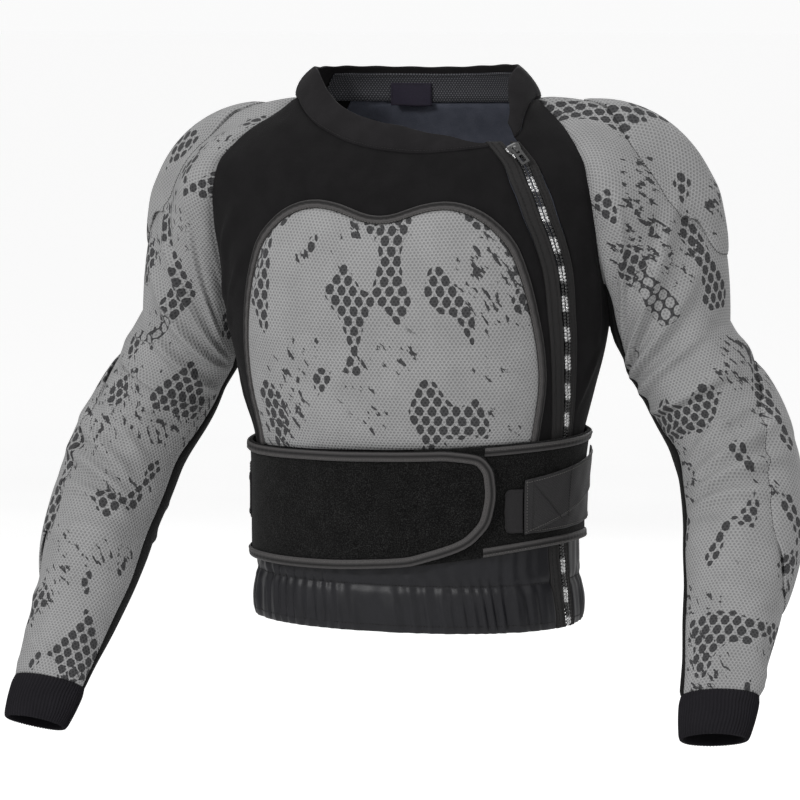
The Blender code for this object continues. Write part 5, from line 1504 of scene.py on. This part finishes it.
# Shoulder and elbow pads
def make_arm_pad(name, side, slip):
    shape = ARM_PADS[name]
    columns, lines = 70, 82
    u = np.linspace(-1, 1, columns)[None, :]
    v = np.linspace(-1, 1, lines)[:, None]
    power = shape["square"]
    turn_share = u * (1 - 0.5 * np.abs(v) ** power * u * u) ** 0.8
    along_share = v * (1 - 0.5 * np.abs(u) ** power * v * v) ** 0.8
    low_turn, high_turn = shape["turns"]
    low, high = shape["rows"]
    turn = (low_turn + high_turn) / 2 + (high_turn - low_turn) / 2 * turn_share
    along = (low + high) / 2 + (high - low) / 2 * along_share
    crown = ((1 - np.abs(u) ** 3) * (1 - np.abs(v) ** 3)) ** 0.7
    seam = np.minimum(1 - np.abs(u), 1 - np.abs(v))
    lift = (PAD_CLEAR + PAD_LIFT) * crown + 0.0002 - 0.0006 * np.exp(-(seam / 0.012) ** 2)
    x, y = sleeve_place(turn, along)
    slack = fold_field(x, y, PAD_FOLDS[name]) + 0.0005 * np.sin(x * 80 + y * 40)
    lift = lift + slack * smooth(crown, 0.1, 0.6)
    lift = lift + sleeve_lift(turn, along, side) * (1 - 0.6 * smooth(crown, 0.2, 0.9))
    base = sleeve_surface(turn, along, slip)
    normals = sleeve_normal(turn, along, slip)
    outer = base + normals * lift[..., None]
    inner = outer - normals * np.maximum(lift - PAD_CLEAR * 0.5, 0.0012)[..., None]
    uv = sleeve_flat(side, turn, along)
    if side == "right":
        outer, inner, normals = mirrored(outer)[:, ::-1], mirrored(inner)[:, ::-1], mirrored(normals)[:, ::-1]
        uv = (uv[0][:, ::-1], uv[1][:, ::-1])
    key = name + "_" + side
    pad = cloth(key, outer, inner, LOOKS["sleeve_top_" + side], (key,), uv)
    for edge in "tblr":
        path, out = grid_path(outer, normals, edge, 0.0016)
        threads.append(stitches(path[1:-1], out[1:-1], pitch=0.0027, radius=0.00034, lift=0.0002))


PAD_FOLDS = {
    "shoulder_pad": ((-0.04, -0.06, 0.03, -0.05, 0.010, 0.0010),),
    "elbow_pad": ((-0.09, 0.13, 0.03, 0.125, 0.010, -0.0014), (-0.09, 0.19, 0.03, 0.185, 0.010, -0.0012)),
}
for side, slip in (("left", 0.0), ("right", RIGHT_SLEEVE_SLIP)):
    for name in ARM_PADS:
        make_arm_pad(name, side, slip)


# Belt: wings, bindings, straps and tabs
def belt_sheet(name, angle, share, lift, thickness, look, flip=False):
    """Cloth over the torso at angles and shares of the belt's height."""
    z = belt_top(angle) + (belt_bottom(angle) - belt_top(angle)) * share
    outer = on_torso(angle, z, lift + thickness)
    inner = on_torso(angle, z, np.asarray(lift) * np.ones_like(z))
    if flip:
        outer, inner = outer[:, ::-1], inner[:, ::-1]
    cloth(name, outer, inner, LOOKS[look], (name,))
    return outer


def make_belt():
    angle = np.linspace(UNDER_WING_END, 360 + WING_START, 250)[None, :]
    share = np.linspace(1, 0, 24)[:, None]
    angle_grid, share_grid = np.broadcast_arrays(angle, share)
    crown = 0.0012 * np.sin(np.pi * share_grid) ** 0.5
    sway = 0.0009 * np.sin(np.radians(angle_grid) * 5 + 1.0) * np.sin(np.pi * share_grid)
    belt_sheet("belt_left", angle_grid, share_grid, BELT_CLEAR + crown + sway, BELT_THICKNESS, "belt")
    down = np.array(WING_END["down"])
    shares = np.linspace(0, 1, 46)
    ends = through(down, np.array(WING_END["angle"], float), shares)
    reach = np.linspace(0, 1, 150)[None, :]
    angle_grid = WING_START + (ends[:, None] - WING_START) * reach
    share_grid = np.broadcast_to(shares[:, None], angle_grid.shape)
    lift = BELT_CLEAR + wing_lift(angle_grid) + 0.0014 * np.sin(np.pi * share_grid) ** 0.5
    z_sway = 0.0006 * np.sin(np.radians(angle_grid) * 4) * np.sin(np.pi * share_grid)
    belt_sheet("belt_right", angle_grid[::-1], share_grid[::-1], (lift + z_sway)[::-1], BELT_THICKNESS,
               "belt")


TAPE_TUCK = 5.5


def make_belt_bindings():
    lift = BELT_CLEAR + BELT_THICKNESS + TAPE_CLEAR
    share = TAPE_WIDTH / BELT_HEIGHT
    angle = np.linspace(TAPE_START - TAPE_TUCK, 360 + WING_START - 1, 330)[None, :]
    lanes = np.linspace(0, 1, 11)
    for name, start in (("belt_binding_top", 0.0), ("belt_binding_bottom", 1 - share)):
        shares = (start + share * lanes)[::-1][:, None]
        angle_grid, share_grid = np.broadcast_arrays(angle, shares)
        crest = np.sin(np.pi * lanes)[:, None] ** 0.4 * 0.0007
        crest = crest + 0.00015 * np.sin(angle_grid * 7.0)
        outer = belt_sheet(name, angle_grid, share_grid, lift + crest, TAPE_THICKNESS, "binding")
        path, out = grid_path(outer, grid_normals(outer), "b" if start == 0 else "t", 0.0019)
        if out[5].dot(path[5] * (1, 1, 0)) < 0:
            out = -out
        threads_light.append(stitches(path, out, pitch=0.0030, lift=0.0001))
    make_wing_binding()


def make_wing_binding():
    """Ribbed tape round the over wing, mitred softly round its end."""
    shares = np.linspace(0, 1, 150)
    ends = through(np.array(WING_END["down"]), np.array(WING_END["angle"], float), shares)
    top = np.linspace(WING_START + 1, ends[0], 150)[:-1]
    bottom = np.linspace(ends[-1], WING_START + 1, 150)[1:]
    angle = np.concatenate([top, ends, bottom])
    share = np.concatenate([np.zeros(len(top)), shares, np.ones(len(bottom))])
    z = belt_top(angle) + (belt_bottom(angle) - belt_top(angle)) * share
    points = torso_surface(angle, z)
    length = np.concatenate([[0], np.cumsum(np.linalg.norm(np.diff(points, axis=0), axis=1))])
    count = 420
    even = np.linspace(0, length[-1], count)
    angle = softened(np.interp(even, length, angle), 12)
    z = softened(np.interp(even, length, z), 12)
    lanes = np.linspace(0, 1, 11)
    strips = [inset(angle, z, TAPE_WIDTH * lane) for lane in lanes]
    strip_angle = np.stack([a for a, _ in strips])
    strip_z = np.stack([h for _, h in strips])
    base = BELT_CLEAR + BELT_THICKNESS + LAYER_CLEAR + wing_lift(strip_angle)
    share_now = (strip_z - belt_top(strip_angle)) / (belt_bottom(strip_angle) - belt_top(strip_angle))
    base = base + 0.0014 * np.sin(np.pi * np.clip(share_now, 0, 1)) ** 0.5
    ribs = 0.00015 * np.sin(np.linspace(0, 700, count))[None, :]
    crest = np.sin(np.pi * lanes)[:, None] ** 0.4 * 0.0008 + ribs
    outer = on_torso(strip_angle, strip_z, base + TAPE_THICKNESS + crest)
    inner = on_torso(strip_angle, strip_z, base)
    outer, inner = outer[:, ::-1], inner[:, ::-1]
    cloth("belt_binding_right", outer, inner, LOOKS["binding"], ("belt_binding_right",))
    normals = grid_normals(outer)
    path, out = grid_path(outer, normals, "b", 0.0018)
    threads_light.append(stitches(path, out, pitch=0.0030, lift=0.0001))


STRAP_SEAMS = (
    ((54.5, -0.372), (69.5, -0.4085)),
    ((75.0, -0.352), (73.5, -0.4075)),
)


def make_straps():
    base = BELT_CLEAR + BELT_THICKNESS + LAYER_CLEAR
    for name, strap in STRAPS.items():
        start, end = strap["start"], strap["end"]
        reach = np.linspace(0, 1, 120)[None, :]
        lanes = np.linspace(0, 1, 32)[:, None]
        angle = np.broadcast_to(start + (end - start) * reach, (32, 120))
        top = strap["tops"][0] + (strap["tops"][1] - strap["tops"][0]) * reach
        low = strap["ends"][0] + (strap["ends"][1] - strap["ends"][0]) * reach
        share = top + (low - top) * lanes
        z = -BELT_DROP - BELT_HEIGHT * share
        lift = base + strap["layer"] * (STRAP_THICKNESS + CLEAR) + 0.0008
        rise = lift + 0.0005 * np.sin(np.pi * lanes) ** 0.3 + 0.0003 * np.sin(reach * 30) * np.sin(lanes * 5)
        outer = on_torso(angle, z, rise + STRAP_THICKNESS)
        inner = on_torso(angle, z, np.full(z.shape, lift))
        if start > end:
            outer, inner = outer[:, ::-1], inner[:, ::-1]
        outer, inner = outer[::-1], inner[::-1]
        cloth(name, outer, inner, LOOKS["strap"], (name,))
        normals = grid_normals(outer)
        normals = normals * np.sign((normals * outer * (1, 1, 0)).sum(-1, keepdims=True))
        for side in "tb":
            path, out = grid_path(outer, normals, side, 0.0022)
            threads_light.append(stitches(path, out, pitch=0.0028, radius=0.00036))
        side = "l" if start < end else "r"
        path, out = grid_path(outer, normals, side, 0.0018)
        threads_light.append(stitches(path, out, pitch=0.0028, radius=0.0004))
        path, out = grid_path(outer, normals, side, 0.0085)
        threads.append(stitches(path, out, pitch=0.0028, radius=0.0004))
    upper = base + STRAP_THICKNESS + CLEAR + STRAP_THICKNESS + 0.0014
    for start, end in STRAP_SEAMS:
        path = np.linspace(start, end, 40)
        points = on_torso(path[:, 0], path[:, 1], np.full(40, upper))
        threads.append(stitches(points, torso_normal(path[:, 0], path[:, 1]), pitch=0.0026, radius=0.0004))
    lift = BELT_CLEAR + BELT_THICKNESS + TAPE_CLEAR
    make_tab("strap_left_tab", STRAPS["strap_left_upper"]["start"] - 0.8, -1, lift + 0.0008)
    make_tab("strap_right_tab", STRAPS["strap_right"]["start"] + 0.8, 1, lift + 0.0008)


def make_tab(name, angle, direction, lift):
    middle = -BELT_DROP - BELT_HEIGHT / 2 + 0.003
    corner = TAB_LENGTH * 0.3
    reach = np.linspace(0, 1, 30)
    over = np.clip((reach * TAB_LENGTH - (TAB_LENGTH - corner)) / corner, 0, 1)
    half = TAB_HEIGHT / 2 - corner * (1 - np.sqrt(np.maximum(1 - over**2, 0)))
    turn = angle + direction * np.array([float(degrees_for(r * TAB_LENGTH, angle, middle)) for r in reach])
    lanes = np.linspace(-1, 1, 40)[:, None]
    z = middle + half[None, :] * lanes
    turn_grid = np.broadcast_to(turn, z.shape)
    edge = 0.0005 * (np.exp(-((1 - np.abs(lanes)) / 0.08) ** 2) + np.exp(-((1 - reach[None, :]) / 0.1) ** 2))
    outer = on_torso(turn_grid, z, lift + TAB_THICKNESS + edge)
    inner = on_torso(turn_grid, z, np.full(z.shape, lift))
    if direction < 0:
        outer, inner = outer[:, ::-1], inner[:, ::-1]
    cloth(name, outer, inner, LOOKS["tab"], (name,))


make_belt()
make_belt_bindings()
make_straps()


# Skirt: gathered stretch cloth, tighter in the middle where it is sewn to its elastic
def make_skirt():
    half = CHAIN_WIDTH / 2 + SEAM
    columns = 520
    rows = 44
    shares = np.linspace(0, 1, columns)
    z_line = np.linspace(-SKIRT_TOP, -BODY_LENGTH, rows)
    points, normals = [], []
    phase = gather_phase(shares)
    for z_at in z_line:
        middle = zip_angle(z_at)
        start = middle + degrees_for(half + ZIP_TAPE_LEFT + 2 * SEAM, middle, z_at)
        end = middle + 360 - degrees_for(half + ZIP_TAPE_RIGHT + 2 * SEAM, middle, z_at)
        angle = start + (end - start) * shares
        down = (-SKIRT_TOP - z_at) / (BODY_LENGTH - SKIRT_TOP)
        seam_at = (SKIRT_STITCH - SKIRT_TOP) / (BODY_LENGTH - SKIRT_TOP)
        upper = np.sin(np.pi * np.clip(down / seam_at, 0, 1)) ** 0.7 * 0.6
        lower = smooth(down, seam_at, seam_at + 0.35) * (1 - 0.25 * smooth(down, 0.85, 1.0))
        flat = smooth(shares, 0.0, 0.03) * smooth(shares, 1.0, 0.95)
        front_calm = 1 - 0.55 * np.exp(-((around(angle) + 40) / 28) ** 2)
        lean = shares * 300 + down * 5 + 0.6 * np.sin(shares * 60)
        drag = 0.0012 * np.sin(lean) * upper
        deep = (0.5 + 0.5 * np.sin(shares * 41 + 1) * np.sin(shares * 23))
        calm = 1 - 0.45 * smooth(down, 0.55, 0.9)
        fold = (0.0036 * np.sin(phase + 0.5 * down * np.sin(shares * 90)) * (0.55 + 0.45 * deep)
                + 0.0009 * np.sin(phase * 2.3 + 1.1) + 0.0012 * np.sin(shares * 133 + 0.7))
        fold = fold * lower * front_calm * calm
        pinch = -0.0016 * np.exp(-((down - seam_at) / 0.045) ** 2)
        pinch = pinch - 0.0010 * np.exp(-((1 - down) / 0.03) ** 2)
        tuck = 0.0010 * np.sin(phase) * np.exp(-((down - seam_at) / 0.10) ** 2)
        lift = (drag + fold + tuck) * flat + pinch + 0.0012 * np.sin(np.pi * np.clip(
            (down - seam_at) / (1 - seam_at), 0, 1))
        points.append(on_torso(angle, np.full(columns, z_at), lift))
        normals.append(torso_normal(angle, np.full(columns, z_at)))
    points, normals = np.stack(points), np.stack(normals)
    points, normals = points[::-1], normals[::-1]
    place = run_lengths(points[:, :], 1)
    cloth("hem_skirt", points, points - normals * CLOTH, LOOKS["skirt"], ("hem_skirt",),
          (place, run_lengths(points, 0)))
    level = int(np.argmin(np.abs(z_line[::-1] + SKIRT_STITCH)))
    threads.append(stitches(points[level], normals[level], pitch=0.0032, lift=0.0002))
    threads.append(stitches(points[3], normals[3], pitch=0.0032, lift=0.0001))


def gather_phase(shares):
    """Running phase of the gathers, unevenly spaced."""
    pace = 1 + 0.35 * np.sin(shares * 37) + 0.25 * np.sin(shares * 83 + 2)
    run = np.cumsum(pace)
    return run / run[-1] * 2 * np.pi * 62


make_skirt()


# Slider and pull keep their solids; they get a moulded finish and softened edges
for name in ("zip_slider", "zip_pull"):
    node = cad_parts[name]
    node.data.materials.clear()
    node.data.materials.append(LOOKS["zip"])
    soften = node.modifiers.new("soft_edges", "BEVEL")
    soften.width = 0.00025
    soften.segments = 2
    soften.limit_method = "ANGLE"
    node.data.shade_smooth()

tubes("seam_threads", threads, LOOKS["thread"], sides=4)
tubes("binding_threads", threads_light, LOOKS["thread_light"], sides=4)


# Floor, light and camera
def area_light(name, place, target, size, energy):
    lamp = bpy.data.lights.new(name, "AREA")
    lamp.shape = "RECTANGLE"
    lamp.size, lamp.size_y = size
    lamp.energy = energy
    made = bpy.data.objects.new(name, lamp)
    made.location = place
    made.rotation_euler = (Vector(target) - Vector(place)).to_track_quat("-Z", "Y").to_euler()
    bpy.context.scene.collection.objects.link(made)


# White studio: a floor far wider than the view. Floor and world are lit up for the camera alone by
# STUDIO_GLOW, and WORLD_LIGHT is what the cloth gets.
STUDIO_GLOW = 0.42
WORLD_LIGHT = 0.54
FLOOR_REACH = 300.0
FLOOR_LEVEL = -0.95


def make_floor():
    mesh = bpy.data.meshes.new("floor")
    corners = [(x * FLOOR_REACH, y * FLOOR_REACH, FLOOR_LEVEL)
               for x, y in ((-1, -1), (1, -1), (1, 1), (-1, 1))]
    mesh.from_pydata(corners, [], [(0, 1, 2, 3)])
    floor = bpy.data.objects.new("floor", mesh)
    bpy.context.scene.collection.objects.link(floor)
    look = Look("floor", roughness=0.9, specular=0.1)
    far = look.node("ShaderNodeVectorMath", {0: look.space()}, operation="LENGTH").outputs["Value"]
    cloud = look.ramp(look.noise(look.space(), 3.0), 0.3, 0.7)
    near = look.mix(cloud, (0.80, 0.80, 0.80), (0.84, 0.84, 0.84))
    look.colour(look.mix(look.ramp(far, 1.5, 7.0), near, (0.985, 0.985, 0.985)))
    seen = look.node("ShaderNodeLightPath", {}).outputs["Is Camera Ray"]
    look.shader.inputs["Emission Color"].default_value = (1, 1, 1, 1)
    look.feed(look.shader.inputs["Emission Strength"], look.math("MULTIPLY", seen, STUDIO_GLOW))
    mesh.materials.append(look.material)


make_floor()
TARGET = Vector((-0.0171, -0.0056, -0.3017))
AZIMUTH = math.radians(18)
ELEVATION = math.radians(6)
DISTANCE = 3.6
VIEW_WIDTH = 0.8
SENSOR = 36.0
to_camera = Vector((math.sin(AZIMUTH) * math.cos(ELEVATION), -math.cos(AZIMUTH) * math.cos(ELEVATION),
                    math.sin(ELEVATION)))
camera = bpy.data.objects.new("camera", bpy.data.cameras.new("camera"))
camera.data.sensor_width = SENSOR
camera.data.lens = SENSOR * DISTANCE / VIEW_WIDTH
camera.data.clip_end = 500.0
camera.location = TARGET + to_camera * DISTANCE
camera.rotation_euler = (-to_camera).to_track_quat("-Z", "Y").to_euler()
bpy.context.scene.collection.objects.link(camera)
bpy.context.scene.camera = camera
area_light("key", (-1.2, -3.0, 1.5), (0, 0, -0.3), (0.6, 0.6), 48)
area_light("fill", (2.6, -2.4, 0.8), (0, 0, -0.3), (1.2, 1.2), 8)
area_light("top", (0.2, 0.3, 2.6), (0, 0, -0.2), (1.8, 1.8), 16)
area_light("back", (0.3, 2.8, 0.9), (0, 0, -0.3), (2.0, 1.4), 26)
world = bpy.data.worlds.new("studio")
bpy.context.scene.world = world
world.use_nodes = True
world.node_tree.nodes["Background"].inputs["Color"].default_value = (1, 1, 1, 1)
seen = world.node_tree.nodes.new("ShaderNodeLightPath").outputs["Is Camera Ray"]
glow = world.node_tree.nodes.new("ShaderNodeMath")
glow.operation = "MULTIPLY_ADD"
world.node_tree.links.new(seen, glow.inputs[0])
glow.inputs[1].default_value = STUDIO_GLOW
glow.inputs[2].default_value = WORLD_LIGHT
world.node_tree.links.new(glow.outputs[0], world.node_tree.nodes["Background"].inputs["Strength"])
bpy.context.scene.view_settings.view_transform = "Standard"
